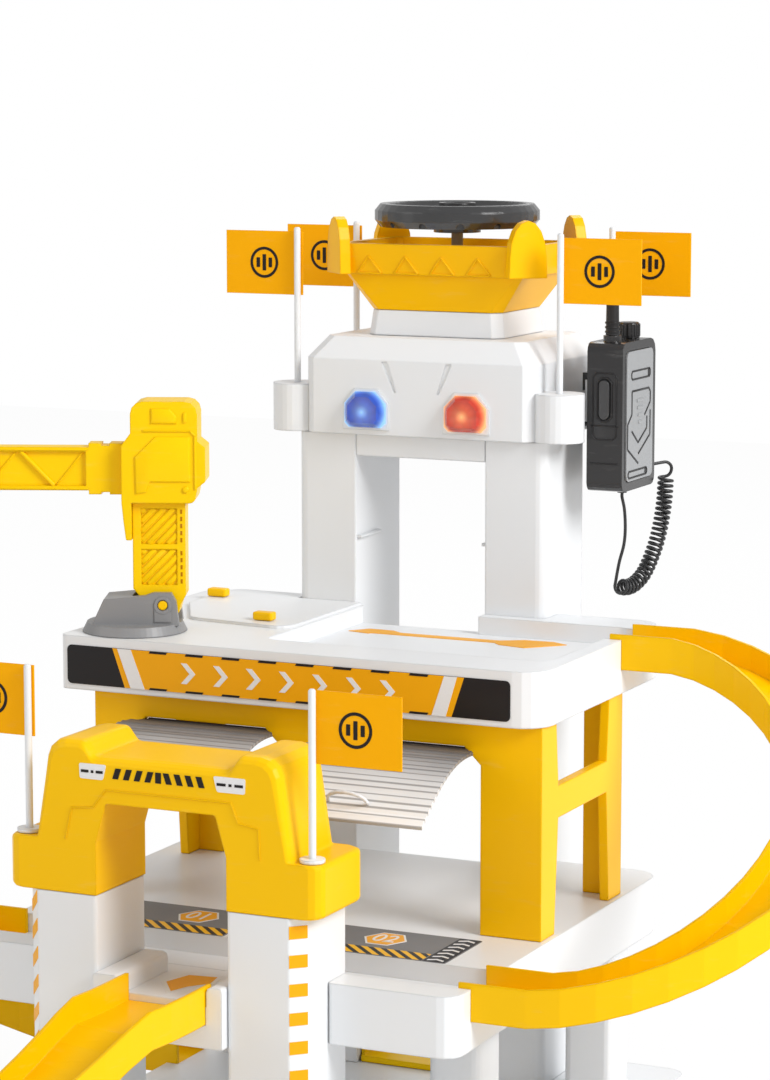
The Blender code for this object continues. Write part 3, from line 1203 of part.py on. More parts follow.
def crane_mast_mesh():
    """The mast: a post whose foot is rounded about its pin."""
    centre = MAST_OFFSET
    half = MAST_WIDTH / 2
    lift = CRANE_PIN_LIFT
    foot = lift - TURNTABLE_RIM - 0.0012
    pin_x = MAST_OFFSET - CRANE_PIN_SETBACK
    points = []
    for step in range(7):
        angle = math.pi + math.pi * step / 6
        points.append((pin_x + foot * math.cos(angle), lift + foot * math.sin(angle)))
    points += [
        (centre + half, lift + 0.010), (centre + half, MAST_TOP_LIFT - GAP), (centre - half, MAST_TOP_LIFT - GAP),
        (centre - half, lift + 0.006)]
    return outline_mesh("crane_mast", points, -MAST_THICKNESS / 2, MAST_THICKNESS / 2, "Y")


def crane_head_mesh():
    """The motor house on top of the mast, with its crown and the strut beside the mast."""
    front = MAST_OFFSET + CRANE_HEAD_WIDTH / 2 - 0.001
    rear = front - CRANE_HEAD_WIDTH
    low = MAST_TOP_LIFT
    high = low + CRANE_HEAD_HEIGHT
    crown = high + CRANE_CROWN_HEIGHT
    crown_front = rear + CRANE_CROWN_WIDTH
    mast_front = MAST_OFFSET + MAST_WIDTH / 2 + GAP
    corners = [
        (rear + 0.002, low), (mast_front, low), (mast_front, low - STRUT_DROP), (mast_front + 0.0035, low - STRUT_DROP),
        (mast_front + 0.005, low - 0.012), (mast_front + STRUT_REACH * 0.55, low - 0.004), (front, low), (front, high - 0.008),
        (crown_front, high), (crown_front, crown), (rear, crown), (rear, low + 0.040), (rear - 0.005, low + 0.036),
        (rear - 0.005, low + 0.014), (rear, low + 0.010)]
    radii = [0.004, 0, 0, 0.001, 0.002, 0.001, 0.001, 0.001, 0.001, 0.008, 0.008, 0, 0.001, 0.001, 0]
    return outline_mesh("crane_head", rounded(corners, radii, 3), -CRANE_HEAD_THICKNESS / 2, CRANE_HEAD_THICKNESS / 2, "Y")


def boom_start():
    return MAST_OFFSET + CRANE_HEAD_WIDTH / 2 - 0.001 + GAP


def boom_middle():
    return MAST_TOP_LIFT + CRANE_HEAD_HEIGHT * 0.47


def crane_boom_mesh():
    start = boom_start()
    middle = boom_middle()
    neck = BOOM_HEIGHT / 2 + 0.001
    plate = COLLAR_PLATE_HEIGHT / 2
    second = start + COLLAR_PLATE + COLLAR_GAP
    root = second + COLLAR_PLATE
    tip = start + BOOM_LENGTH
    end_low = middle + BOOM_HEIGHT / 2 - BOOM_TIP_HEIGHT
    bend = root + (tip - root) * 0.55
    corners = [
        (start, middle - plate), (start + COLLAR_PLATE, middle - plate), (start + COLLAR_PLATE, middle - neck),
        (second, middle - neck), (second, middle - plate), (root, middle - plate), (root, middle - BOOM_HEIGHT / 2),
        (bend, middle - BOOM_HEIGHT / 2), (tip, end_low), (tip, middle + BOOM_HEIGHT / 2), (root, middle + BOOM_HEIGHT / 2),
        (root, middle + plate), (second, middle + plate), (second, middle + neck), (start + COLLAR_PLATE, middle + neck),
        (start + COLLAR_PLATE, middle + plate), (start, middle + plate)]
    return outline_mesh("crane_boom", corners, -BOOM_THICKNESS / 2, BOOM_THICKNESS / 2, "Y")


def shape_boom(b, boom):
    """A long recess on both faces, and the fork for the hook."""
    root = boom_start() + 2 * COLLAR_PLATE + COLLAR_GAP
    tip = boom_start() + BOOM_LENGTH
    middle = boom_middle()
    bend = root + (tip - root) * 0.55
    area = rectangle(root + 0.002, bend - 0.002, middle - BOOM_HEIGHT / 2 + 0.003, middle + BOOM_HEIGHT / 2 - 0.003)
    for face in (-1, 1):
        start = face * BOOM_THICKNESS / 2
        depth = sorted((start - face * 0.0025, start + face * 0.01))
        b.cut(boom, outline_mesh("recess", area, depth[0], depth[1], "Y"), "recess")
    pin_x, pin_z = hook_pin_place()
    b.cut(boom, box_mesh("fork", (pin_x - 0.0075, -0.003, pin_z - 0.03), (tip + 0.01, 0.003, pin_z + 0.005)), "fork")
    b.cut(boom, rod_mesh("pin_hole", (pin_x, -0.05, pin_z), (pin_x, 0.05, pin_z), HOOK_PIN_RADIUS + GAP, 16), "pin_hole")


def hook_pin_place():
    tip = boom_start() + BOOM_LENGTH
    return tip - 0.006, boom_middle() + BOOM_HEIGHT / 2 - BOOM_TIP_HEIGHT + 0.006


def make_hook(b):
    pin_x, pin_z = hook_pin_place()
    pin = b.solid("hook_pin", rod_mesh(
        "hook_pin", (pin_x, -BOOM_THICKNESS / 2 - 0.0006, pin_z), (pin_x, BOOM_THICKNESS / 2 + 0.0006, pin_z),
        HOOK_PIN_RADIUS, 16), YELLOW)
    eye = 0.0042
    low = pin_z - HOOK_LENGTH
    bowl = 0.0068
    hook = b.solid("crane_hook", outline_mesh("crane_hook", hook_outline(pin_x, pin_z, eye, bowl, low), -0.0022, 0.0022, "Y"), BLACK, 0.4)
    b.cut(hook, rod_mesh("eye_hole", (pin_x, -0.05, pin_z), (pin_x, 0.05, pin_z), HOOK_PIN_RADIUS + GAP, 16), "eye_hole")
    return [pin, hook]


def hook_outline(x, z, eye, bowl, low):
    """A hook: an eye at the top, a shank, and a bowl open towards -X."""
    centre_z = low + bowl
    inner = bowl - 0.0034
    points = []
    for step in range(9):
        angle = math.radians(-50 + 280 * step / 8)
        points.append((x + eye * math.cos(angle), z + eye * math.sin(angle)))
    points.append((x - 0.0017, centre_z + bowl + 0.001))
    points.append((x - 0.0017, centre_z + inner + 0.0002))
    for step in range(9):
        angle = math.radians(90 - 250 * step / 8)
        points.append((x + inner * math.cos(angle), centre_z + inner * math.sin(angle)))
    for step in range(10):
        angle = math.radians(-165 + 225 * step / 9)
        points.append((x + bowl * math.cos(angle), centre_z + bowl * math.sin(angle)))
    points.append((x + 0.0017, centre_z + bowl + 0.001))
    return points


def make_radio(b):
    left = RADIO_X
    right = left + RADIO_THICKNESS
    front = RADIO_FRONT
    rear = front + RADIO_DEPTH
    low = RADIO_BOTTOM
    high = low + RADIO_HEIGHT
    corners = rectangle(front, rear, low, high)
    outline = rounded(corners, [RADIO_CORNER, RADIO_CORNER, RADIO_CORNER * 1.5, RADIO_CORNER], 3)
    body = b.solid("radio_body", outline_mesh("radio_body", outline, left, right, "X"), BLACK, 0.4)
    antenna_y = front + ANTENNA_INSET
    middle = (left + right) / 2
    b.join(body, rod_mesh("antenna_seat", (middle, antenna_y, high - 0.001), (middle, antenna_y, high + 0.004), ANTENNA_RADIUS + 0.0015, 20), "antenna_seat")
    button_z = low + RADIO_HEIGHT * 0.62
    b.cut(body, pill_mesh("button_pocket", middle, front, button_z, GAP, 0.004, 0.001), "button_pocket")
    face_inset = 0.006
    pocket = rounded(rectangle(front + face_inset, rear - face_inset, low + face_inset, high - face_inset), 0.004, 2)
    b.cut(body, outline_mesh("face_pocket", pocket, right - RADIO_FACE, right + 0.01, "X"), "face_pocket")
    b.cut(body, rod_mesh("knob_hole", (middle, front + KNOB_INSET, high - 0.004), (middle, front + KNOB_INSET, high + 0.01), 0.0023, 16), "knob_hole")
    soften(body, 0.0020, 1, 50)
    clear = GAP + 0.0001
    panel = rounded(rectangle(
        front + face_inset + clear, rear - face_inset - clear, low + face_inset + clear, high - face_inset - clear), 0.004, 2)
    b.solid("radio_face", outline_mesh("radio_face", panel, right - RADIO_FACE + GAP, right + 0.0008, "X"), (0.55, 0.56, 0.57))
    profile = [
        (0.0, ANTENNA_LENGTH), (ANTENNA_RADIUS * 0.55, ANTENNA_LENGTH), (ANTENNA_RADIUS * 0.85, ANTENNA_LENGTH - 0.002),
        (ANTENNA_RADIUS, 0.0), (0.0, 0.0)]
    turned("radio_antenna", profile, (middle, antenna_y, high + 0.004 + GAP), b.parts, BLACK, 20, 0.5)
    stem = 0.002
    profile = [
        (0.0, KNOB_HEIGHT), (KNOB_RADIUS - 0.001, KNOB_HEIGHT), (KNOB_RADIUS, KNOB_HEIGHT - 0.001), (KNOB_RADIUS, 0.0),
        (stem, 0.0), (stem, -0.0035), (0.0, -0.0035)]
    turned("radio_knob", profile, (middle, front + KNOB_INSET, high + GAP), b.parts, BLACK, 20, 0.4)
    b.solid("talk_button", pill_mesh("talk_button", middle, front, button_z, 0.0, 0.0025, BUTTON_STAND - 0.0012), BLACK, 0.5)
    b.join(body, rod_mesh("gland", cord_gland_end(), (cord_gland_end()[0], cord_gland_end()[1], low + 0.001), GLAND_RADIUS, 16), "gland")
    make_bracket(b, left, middle)


def pill_mesh(name, x, front, z, grow, sunk, stand):
    """A button with round ends on the radio's narrow face."""
    half = BUTTON_WIDTH / 2 + grow
    straight = BUTTON_HEIGHT / 2 - BUTTON_WIDTH / 2
    outline = []
    for step in range(9):
        angle = math.pi * step / 8
        outline.append((x + half * math.cos(angle), z + straight + half * math.sin(angle)))
    for step in range(9):
        angle = math.pi + math.pi * step / 8
        outline.append((x + half * math.cos(angle), z - straight + half * math.sin(angle)))
    return outline_mesh(name, outline, front - stand, front + sunk, "Y")


def make_bracket(b, radio_left, radio_middle):
    """The hook plate on the head's side and the radio's clip that hangs over it."""
    low = HEAD_BOTTOM + BRACKET_LIFT - BRACKET_HEIGHT / 2
    high = low + BRACKET_HEIGHT
    middle_y = RADIO_FRONT + RADIO_DEPTH / 2
    half = BRACKET_WIDTH / 2
    wall_x = HEAD_HALF_WIDTH + GAP
    plate_x = radio_left - CLIP_THICKNESS - BRACKET_PLATE - 0.004
    arm = 0.005
    outline = [
        (wall_x, low), (plate_x + BRACKET_PLATE, low), (plate_x + BRACKET_PLATE, high), (plate_x, high),
        (plate_x, low + arm), (wall_x, low + arm)]
    b.solid("radio_bracket", outline_mesh("radio_bracket", outline, middle_y - half, middle_y + half, "Y"), WHITE)
    clip_x = plate_x + BRACKET_PLATE + SLIDE_GAP
    back = plate_x - SLIDE_GAP
    roof = high + SLIDE_GAP
    clip = [
        (radio_left - GAP, roof - 0.004), (radio_left - GAP, roof + 0.004), (back - CLIP_THICKNESS, roof + 0.004),
        (back - CLIP_THICKNESS, roof - 0.008), (back, roof - 0.008), (back, roof), (clip_x, roof), (clip_x, roof - 0.016),
        (clip_x + CLIP_THICKNESS, roof - 0.016), (clip_x + CLIP_THICKNESS, roof - 0.004)]
    b.solid("radio_clip", outline_mesh("radio_clip", clip, middle_y - half + 0.003, middle_y + half - 0.003, "Y"), BLACK, 0.4)


def cord_gland_end():
    return (RADIO_X + RADIO_THICKNESS / 2, RADIO_FRONT + GLAND_INSET, RADIO_BOTTOM - GLAND_LENGTH)


def socket_face():
    """Where the cord leaves the socket on the tower head's side."""
    return Vector((HEAD_HALF_WIDTH + GAP + SOCKET_LENGTH, RADIO_FRONT + SOCKET_SETBACK, HEAD_BOTTOM + SOCKET_LIFT))


def smooth_line(knots):
    """Close points along a smooth curve through the knots."""
    fine = []
    for index in range(len(knots) - 1):
        before = knots[index - 1] if index > 0 else knots[0] * 2 - knots[1]
        start = knots[index]
        end = knots[index + 1]
        after = knots[index + 2] if index + 2 < len(knots) else knots[-1] * 2 - knots[-2]
        for step in range(24):
            t = step / 24
            fine.append(0.5 * (
                2 * start + (end - before) * t + (2 * before - 5 * start + 4 * end - after) * t * t
                + (3 * start - before - 3 * end + after) * t ** 3))
    fine.append(knots[-1].copy())
    return fine


def even_points(fine, count):
    """Points at even steps along a fine line."""
    lengths = [0.0]
    for first, second in zip(fine, fine[1:]):
        lengths.append(lengths[-1] + (second - first).length)
    points = []
    index = 0
    for step in range(count + 1):
        want = lengths[-1] * step / count
        while index < len(lengths) - 2 and lengths[index + 1] < want:
            index += 1
        share = (want - lengths[index]) / (lengths[index + 1] - lengths[index])
        points.append(fine[index].lerp(fine[index + 1], min(1.0, share)))
    return points


COIL_KNOTS = [
    Vector((0.1213, 0.2072, 0.3483)), Vector((0.1236, 0.2142, 0.3471)),
    Vector((0.1264, 0.2226, 0.3490)), Vector((0.1297, 0.2320, 0.3562)), Vector((0.1330, 0.2419, 0.3719)),
    Vector((0.1349, 0.2478, 0.3877)), Vector((0.1360, 0.2511, 0.4039)), Vector((0.1364, 0.2522, 0.4185))]
LOOP_KNOTS = [
    Vector((0.1372, 0.2546, 0.4268)), Vector((0.1365, 0.2530, 0.4300)), Vector((0.1350, 0.2485, 0.4312)),
    Vector((0.1325, 0.2435, 0.4285)), Vector((0.1270, 0.2412, 0.4240)), Vector((0.1150, 0.2400, 0.4215)),
    Vector((0.1040, 0.2360, 0.4270)), Vector((0.0975, 0.2280, 0.4420)), Vector((0.0950, 0.2230, 0.4530))]
TAIL_KNOTS = [
    Vector((0.1196, 0.2014, 0.3530)), Vector((0.1199, 0.2020, 0.3592)), Vector((0.1214, 0.2068, 0.3660)),
    Vector((0.1228, 0.2118, 0.3760)), Vector((0.1231, 0.2125, 0.3870)), Vector((0.1226, 0.2105, 0.4000))]


def coil_points():
    """The curls wound about the coil's middle line, with a straight run of one diameter at each end."""
    line = even_points(smooth_line(COIL_KNOTS), CORD_TURNS * CORD_TURN_POINTS)
    count = len(line)
    points = []
    across = Vector((COIL_SIDE[0], COIL_SIDE[1], 0)).normalized()
    for index, spot in enumerate(line):
        ahead = (line[min(index + 1, count - 1)] - line[max(index - 1, 0)]).normalized()
        up = ahead.cross(across).normalized()
        side = up.cross(ahead)
        share = index / (count - 1)
        grow = min(1.0, share * CORD_TURNS / 0.75, (1 - share) * CORD_TURNS / 0.75)
        angle = math.tau * CORD_TURNS * share
        points.append(spot + CORD_CURL_RADIUS * grow * (math.cos(angle) * up + math.sin(angle) * side))
    first_way = (line[0] - line[1]).normalized()
    last_way = (line[-1] - line[-2]).normalized()
    straight = 2 * CORD_RADIUS
    return [line[0] + first_way * straight] + points + [line[-1] + last_way * straight]


def least_gap(points, skip):
    """The least clear distance between turns of one tube, measured on its points."""
    least = 1.0
    for index, spot in enumerate(points):
        for other in points[index + skip:]:
            least = min(least, (other - spot).length)
    return least - 2 * CORD_RADIUS


def free_run(start, start_way, knots, end, end_way, count):
    """A free stretch: one straight diameter out of each end, and a smooth curve between them."""
    straight = 2 * CORD_RADIUS
    first = start + start_way * straight
    last = end + end_way * straight
    middle = even_points(smooth_line([start, first] + knots + [last, end]), count)
    inside = [spot for spot in middle if (spot - start).length > straight * 1.6 and (spot - end).length > straight * 1.6]
    return [start, first] + inside + [last, end]


def run_length(points):
    return sum((second - first).length for first, second in zip(points, points[1:]))


def make_cord(b):
    coil = coil_points()
    b.solid("cord_curls", tube_mesh("cord_curls", coil, CORD_RADIUS, 1), BLACK, 0.45)
    print("least gap between curls, mm:", round(least_gap(coil, CORD_TURN_POINTS // 2 + 2) * 1000, 2))
    top_way = (coil[-1] - coil[-2]).normalized()
    low_way = (coil[0] - coil[1]).normalized()
    face = socket_face() + Vector((GAP, 0, 0))
    lead = free_run(coil[-1] + top_way * GAP, top_way, LOOP_KNOTS, face, Vector((1, 0, 0)), 20)
    b.solid("cord_lead", tube_mesh("cord_lead", lead, CORD_RADIUS, 2), BLACK, 0.45)
    gland = Vector(cord_gland_end()) - Vector((0, 0, GAP))
    tail = free_run(coil[0] + low_way * GAP, low_way, TAIL_KNOTS, gland, Vector((0, 0, -1)), 18)
    b.solid("cord_tail", tube_mesh("cord_tail", tail, CORD_RADIUS, 2), BLACK, 0.45)
    print("cord lengths, mm: lead", round(run_length(lead) * 1000), "wire in the curls", round(run_length(coil) * 1000),
          "tail", round(run_length(tail) * 1000))
    outer = socket_face()
    b.solid("cord_socket", rod_mesh(
        "cord_socket", (HEAD_HALF_WIDTH + GAP, outer.y, outer.z), outer, SOCKET_RADIUS, 20, CORD_RADIUS * 2), BLACK, 0.4)


def main():
    clear_scene()
    b = Builder()
    make_base(b)
    make_mid_deck(b)
    make_upper_deck(b)
    make_gate(b)
    make_ramps(b)
    make_leg_frame(b)
    make_doors(b)
    make_tower(b)
    make_head(b)
    make_helipad(b)
    make_handwheel(b)
    make_lift_car(b)
    make_crane(b)
    make_radio(b)
    make_cord(b)


main()
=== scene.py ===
import math

import bmesh
import bpy
from mathutils import Matrix, Vector


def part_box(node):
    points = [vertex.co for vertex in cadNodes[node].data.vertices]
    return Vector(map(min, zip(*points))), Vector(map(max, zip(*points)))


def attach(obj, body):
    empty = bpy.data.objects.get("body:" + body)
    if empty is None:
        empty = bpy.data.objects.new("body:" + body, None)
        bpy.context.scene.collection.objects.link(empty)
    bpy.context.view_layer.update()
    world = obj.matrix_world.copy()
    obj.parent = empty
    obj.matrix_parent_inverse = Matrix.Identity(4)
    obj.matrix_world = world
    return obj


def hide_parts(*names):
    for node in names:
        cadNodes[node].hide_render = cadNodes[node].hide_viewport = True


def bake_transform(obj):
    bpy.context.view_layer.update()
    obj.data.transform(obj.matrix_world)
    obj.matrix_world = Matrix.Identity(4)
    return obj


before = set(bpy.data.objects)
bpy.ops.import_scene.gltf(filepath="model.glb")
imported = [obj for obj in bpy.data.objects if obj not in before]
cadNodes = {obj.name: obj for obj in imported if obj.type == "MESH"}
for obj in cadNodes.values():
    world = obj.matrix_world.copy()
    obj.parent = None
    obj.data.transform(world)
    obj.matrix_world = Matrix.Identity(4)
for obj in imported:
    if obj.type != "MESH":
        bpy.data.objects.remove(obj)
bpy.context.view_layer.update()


# Camera, floor and light

view = {
    "place": (0.929, -1.890, 0.699),
    "turn": (81.9, 0.0, 25.1),
    "lens": 112.4,
    "sensor": 36.0,
    "farthest": 50.0,
    "floorSize": 8.0,
    "floorDrop": 0.0004,
    "floorColour": (0.93, 0.93, 0.93),
    "floorWhite": 0.95,
    "skyLight": 0.56,
    "lampTarget": (0.0, 0.0, 0.30),
    "lamps": (
        ("keyLamp", (2.9, -0.6, 2.2), 1.6, 100.0),
        ("fillLamp", (-2.4, -1.8, 1.6), 2.2, 16.6),
        ("rearLamp", (-0.6, 2.6, 2.4), 2.0, 24.8),
    ),
}


def makeCamera():
    data = bpy.data.cameras.new("camera")
    data.sensor_fit = "VERTICAL"
    data.sensor_height = view["sensor"]
    data.lens = view["lens"]
    data.clip_end = view["farthest"]
    camera = bpy.data.objects.new("camera", data)
    camera.location = view["place"]
    camera.rotation_euler = [math.radians(angle) for angle in view["turn"]]
    bpy.context.scene.collection.objects.link(camera)
    bpy.context.scene.camera = camera


def makeLamp(name, place, size, power):
    data = bpy.data.lights.new(name, "AREA")
    data.shape = "DISK"
    data.size = size
    data.energy = power
    lamp = bpy.data.objects.new(name, data)
    lamp.location = place
    lamp.rotation_euler = (Vector(view["lampTarget"]) - Vector(place)).to_track_quat("-Z", "Y").to_euler()
    bpy.context.scene.collection.objects.link(lamp)


def makeStudio():
    scene = bpy.context.scene
    scene.view_settings.view_transform = "Standard"
    world = bpy.data.worlds.new("studio")
    scene.world = world
    world.use_nodes = True
    tree = world.node_tree
    tree.nodes.clear()
    path = tree.nodes.new("ShaderNodeLightPath")
    seen = tree.nodes.new("ShaderNodeMath")
    seen.operation = "MAXIMUM"
    tree.links.new(path.outputs["Is Camera Ray"], seen.inputs[0])
    tree.links.new(path.outputs["Is Transmission Ray"], seen.inputs[1])
    soft = tree.nodes.new("ShaderNodeBackground")
    soft.inputs["Color"].default_value = (1.0, 1.0, 1.0, 1.0)
    soft.inputs["Strength"].default_value = view["skyLight"]
    white = tree.nodes.new("ShaderNodeBackground")
    white.inputs["Color"].default_value = (1.0, 1.0, 1.0, 1.0)
    white.inputs["Strength"].default_value = 1.0
    mix = tree.nodes.new("ShaderNodeMixShader")
    out = tree.nodes.new("ShaderNodeOutputWorld")
    tree.links.new(seen.outputs[0], mix.inputs[0])
    tree.links.new(soft.outputs[0], mix.inputs[1])
    tree.links.new(white.outputs[0], mix.inputs[2])
    tree.links.new(mix.outputs[0], out.inputs["Surface"])
    for name, place, size, power in view["lamps"]:
        makeLamp(name, place, size, power)


print("scene: camera and lights")
makeCamera()
makeStudio()


# The hand radio's curled cord
# "straight" is in radii

cord = {
    "radius": 0.0011,
    "curlRadius": 0.0046,
    "turns": 27.125,
    "turnPoints": 20,
    "length": 0.944,
    "leastBend": 0.0045,
    "easeRounds": 400,
    "easeReach": (4, 6),
    "loop": 0.0050,
    "loopSteps": (0.5, 1.0, 1.5, 2.0, 2.5, 3.0),
    "straight": 2.5,
    "tailStep": 0.0022,
    "leadStep": 0.0016,
    "fineSteps": 24,
    "side": (51.0, -17.0, 0.0),
    "gland": (0.1215, 0.2085, 0.4117),
    "settled": (0.1079, 0.2197, 0.4063),
    "socket": (0.0901, 0.2220, 0.4560),
    "coil": (
        (0.1213, 0.2072, 0.3483), (0.1236, 0.2142, 0.3471), (0.1264, 0.2226, 0.3490),
        (0.1297, 0.2320, 0.3562), (0.1330, 0.2419, 0.3719), (0.1349, 0.2478, 0.3877),
        (0.1360, 0.2511, 0.4039), (0.1364, 0.2522, 0.4185),
    ),
    "lead": (
        (0.1235, 0.2436, 0.4262), (0.1140, 0.2405, 0.4232), (0.1050, 0.2370, 0.4270),
        (0.1010, 0.2300, 0.4365), (0.1000, 0.2240, 0.4465), (0.0975, 0.2222, 0.4530),
    ),
    "tail": (
        (0.1226, 0.2105, 0.4000), (0.1228, 0.2118, 0.3870), (0.1220, 0.2114, 0.3760),
        (0.1196, 0.2092, 0.3640),
    ),
}


def vectors(spots):
    return [Vector(spot) for spot in spots]


def smoothLine(knots):
    fine = []
    for index in range(len(knots) - 1):
        before = knots[index - 1] if index > 0 else knots[0] * 2 - knots[1]
        start, end = knots[index], knots[index + 1]
        after = knots[index + 2] if index + 2 < len(knots) else knots[-1] * 2 - knots[-2]
        for step in range(cord["fineSteps"]):
            t = step / cord["fineSteps"]
            first = 2 * start + (end - before) * t
            second = (2 * before - 5 * start + 4 * end - after) * t * t
            third = (3 * start - before - 3 * end + after) * t ** 3
            fine.append(0.5 * (first + second + third))
    fine.append(knots[-1].copy())
    return fine


def evenPoints(fine, count):
    lengths = [0.0]
    for first, second in zip(fine, fine[1:]):
        lengths.append(lengths[-1] + (second - first).length)
    points = []
    index = 0
    for step in range(count + 1):
        want = lengths[-1] * step / count
        while index < len(lengths) - 2 and lengths[index + 1] < want:
            index += 1
        share = (want - lengths[index]) / (lengths[index + 1] - lengths[index])
        points.append(fine[index].lerp(fine[index + 1], min(1.0, share)))
    return points


def coilPoints():
    line = evenPoints(smoothLine(vectors(cord["coil"])), int(cord["turns"] * cord["turnPoints"]))
    count = len(line)
    across = Vector(cord["side"]).normalized()
    points = []
    for index, spot in enumerate(line):
        ahead = (line[min(index + 1, count - 1)] - line[max(index - 1, 0)]).normalized()
        up = ahead.cross(across).normalized()
        side = up.cross(ahead)
        angle = math.tau * cord["turns"] * index / (count - 1) - math.pi / 2
        points.append(spot + cord["curlRadius"] * (math.cos(angle) * up + math.sin(angle) * side))
    return points


def joinedRun(start, knots, end, endWay, step):
    last = end + endWay * cord["radius"] * cord["straight"]
    fine = smoothLine([start] + knots + [last, end])
    length = sum((second - first).length for first, second in zip(fine, fine[1:]))
    return evenPoints(fine, int(length / step))


def easeBends(route, windows):
    points = [spot.copy() for spot in route]
    for turn in range(cord["easeRounds"]):
        before = [spot.copy() for spot in points]
        tight = 0
        for start, end in windows:
            for index in range(start, end):
                first, second = before[index] - before[index - 1], before[index + 1] - before[index]
                if first.angle(second) * cord["leastBend"] > (first.length + second.length) / 2:
                    points[index] = before[index].lerp((before[index - 1] + before[index + 1]) / 2, 0.5)
                    tight += 1
        if tight == 0:
            break
    return points


def cordRoute():
    coil = coilPoints()
    tailKnots = vectors(reversed(cord["tail"]))
    tail = joinedRun(coil[0], tailKnots, Vector(cord["gland"]), Vector((0, 0, -1)), cord["tailStep"])
    way = (coil[-1] - coil[-2]).normalized()
    over = [coil[-1] + cord["loop"] * (math.sin(turn) * way + (1 - math.cos(turn)) * Vector((0, 0, 1)))
            for turn in cord["loopSteps"]]
    leadKnots = over + vectors(cord["lead"])
    lead = joinedRun(coil[-1], leadKnots, Vector(cord["socket"]), Vector((1, 0, 0)), cord["leadStep"])
    route = list(reversed(tail))[:-1] + coil + lead[1:]
    past, before = cord["easeReach"]
    windows = ((1, len(tail) + past), (len(tail) + len(coil) - before, len(route) - 1))
    return easeBends(route, windows)


def makeCord():
    route = cordRoute()
    measured = sum((second - first).length for first, second in zip(route, route[1:]))
    print("scene: cord route", round(measured, 4))
    data = bpy.data.curves.new("radio_cord", "CURVE")
    data.dimensions = "3D"
    data.bevel_depth = cord["radius"]
    data.bevel_resolution = 3
    data.use_fill_caps = True
    spline = data.splines.new("POLY")
    spline.points.add(len(route) - 1)
    for point, spot in zip(spline.points, route):
        point.co = (*spot, 1.0)
    guide = bpy.data.objects.new("cord_guide", data)
    bpy.context.scene.collection.objects.link(guide)
    bpy.context.view_layer.update()
    tube = bpy.data.meshes.new_from_object(guide.evaluated_get(bpy.context.evaluated_depsgraph_get()))
    bpy.data.objects.remove(guide)
    bpy.data.curves.remove(data)
    part = bmesh.new()
    part.from_mesh(tube)
    bmesh.ops.remove_doubles(part, verts=part.verts[:], dist=1e-6)
    bmesh.ops.recalc_face_normals(part, faces=part.faces[:])
    part.to_mesh(tube)
    part.free()
    tube.name = "radio_cord"
    tube.shade_smooth()
    tube.set_sharp_from_angle(angle=math.radians(60))
    piece = bpy.data.objects.new("radio_cord", tube)
    bpy.context.scene.collection.objects.link(piece)
    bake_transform(piece)
    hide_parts("cord_tail", "cord_curls", "cord_lead")
    return piece


radioCord = makeCord()


# Shader maths on sockets

class Wire:

    def __init__(self, graph, socket):
        self.graph = graph
        self.socket = socket

    def sum(self, operation, *values):
        return self.graph.add("ShaderNodeMath", {"operation": operation}, dict(enumerate(values)))

    def __add__(self, other):
        return self.sum("ADD", self, other)

    def __radd__(self, other):
        return self.sum("ADD", other, self)

    def __sub__(self, other):
        return self.sum("SUBTRACT", self, other)

    def __rsub__(self, other):
        return self.sum("SUBTRACT", other, self)

    def __mul__(self, other):
        return self.sum("MULTIPLY", self, other)

    def __rmul__(self, other):
        return self.sum("MULTIPLY", other, self)

    def __truediv__(self, other):
        return self.sum("DIVIDE", self, other)

    def __lt__(self, other):
        return self.sum("LESS_THAN", self, other)

    def __mod__(self, other):
        return self.sum("FLOORED_MODULO", self, other)

    def __abs__(self):
        return self.sum("ABSOLUTE", self)


socketNames = {
    "colour": "Base Color", "rough": "Roughness", "metal": "Metallic", "coat": "Coat Weight",
    "coatRough": "Coat Roughness", "normal": "Normal", "glow": "Emission Color",
    "glowStrength": "Emission Strength", "gloss": "Specular IOR Level",
}


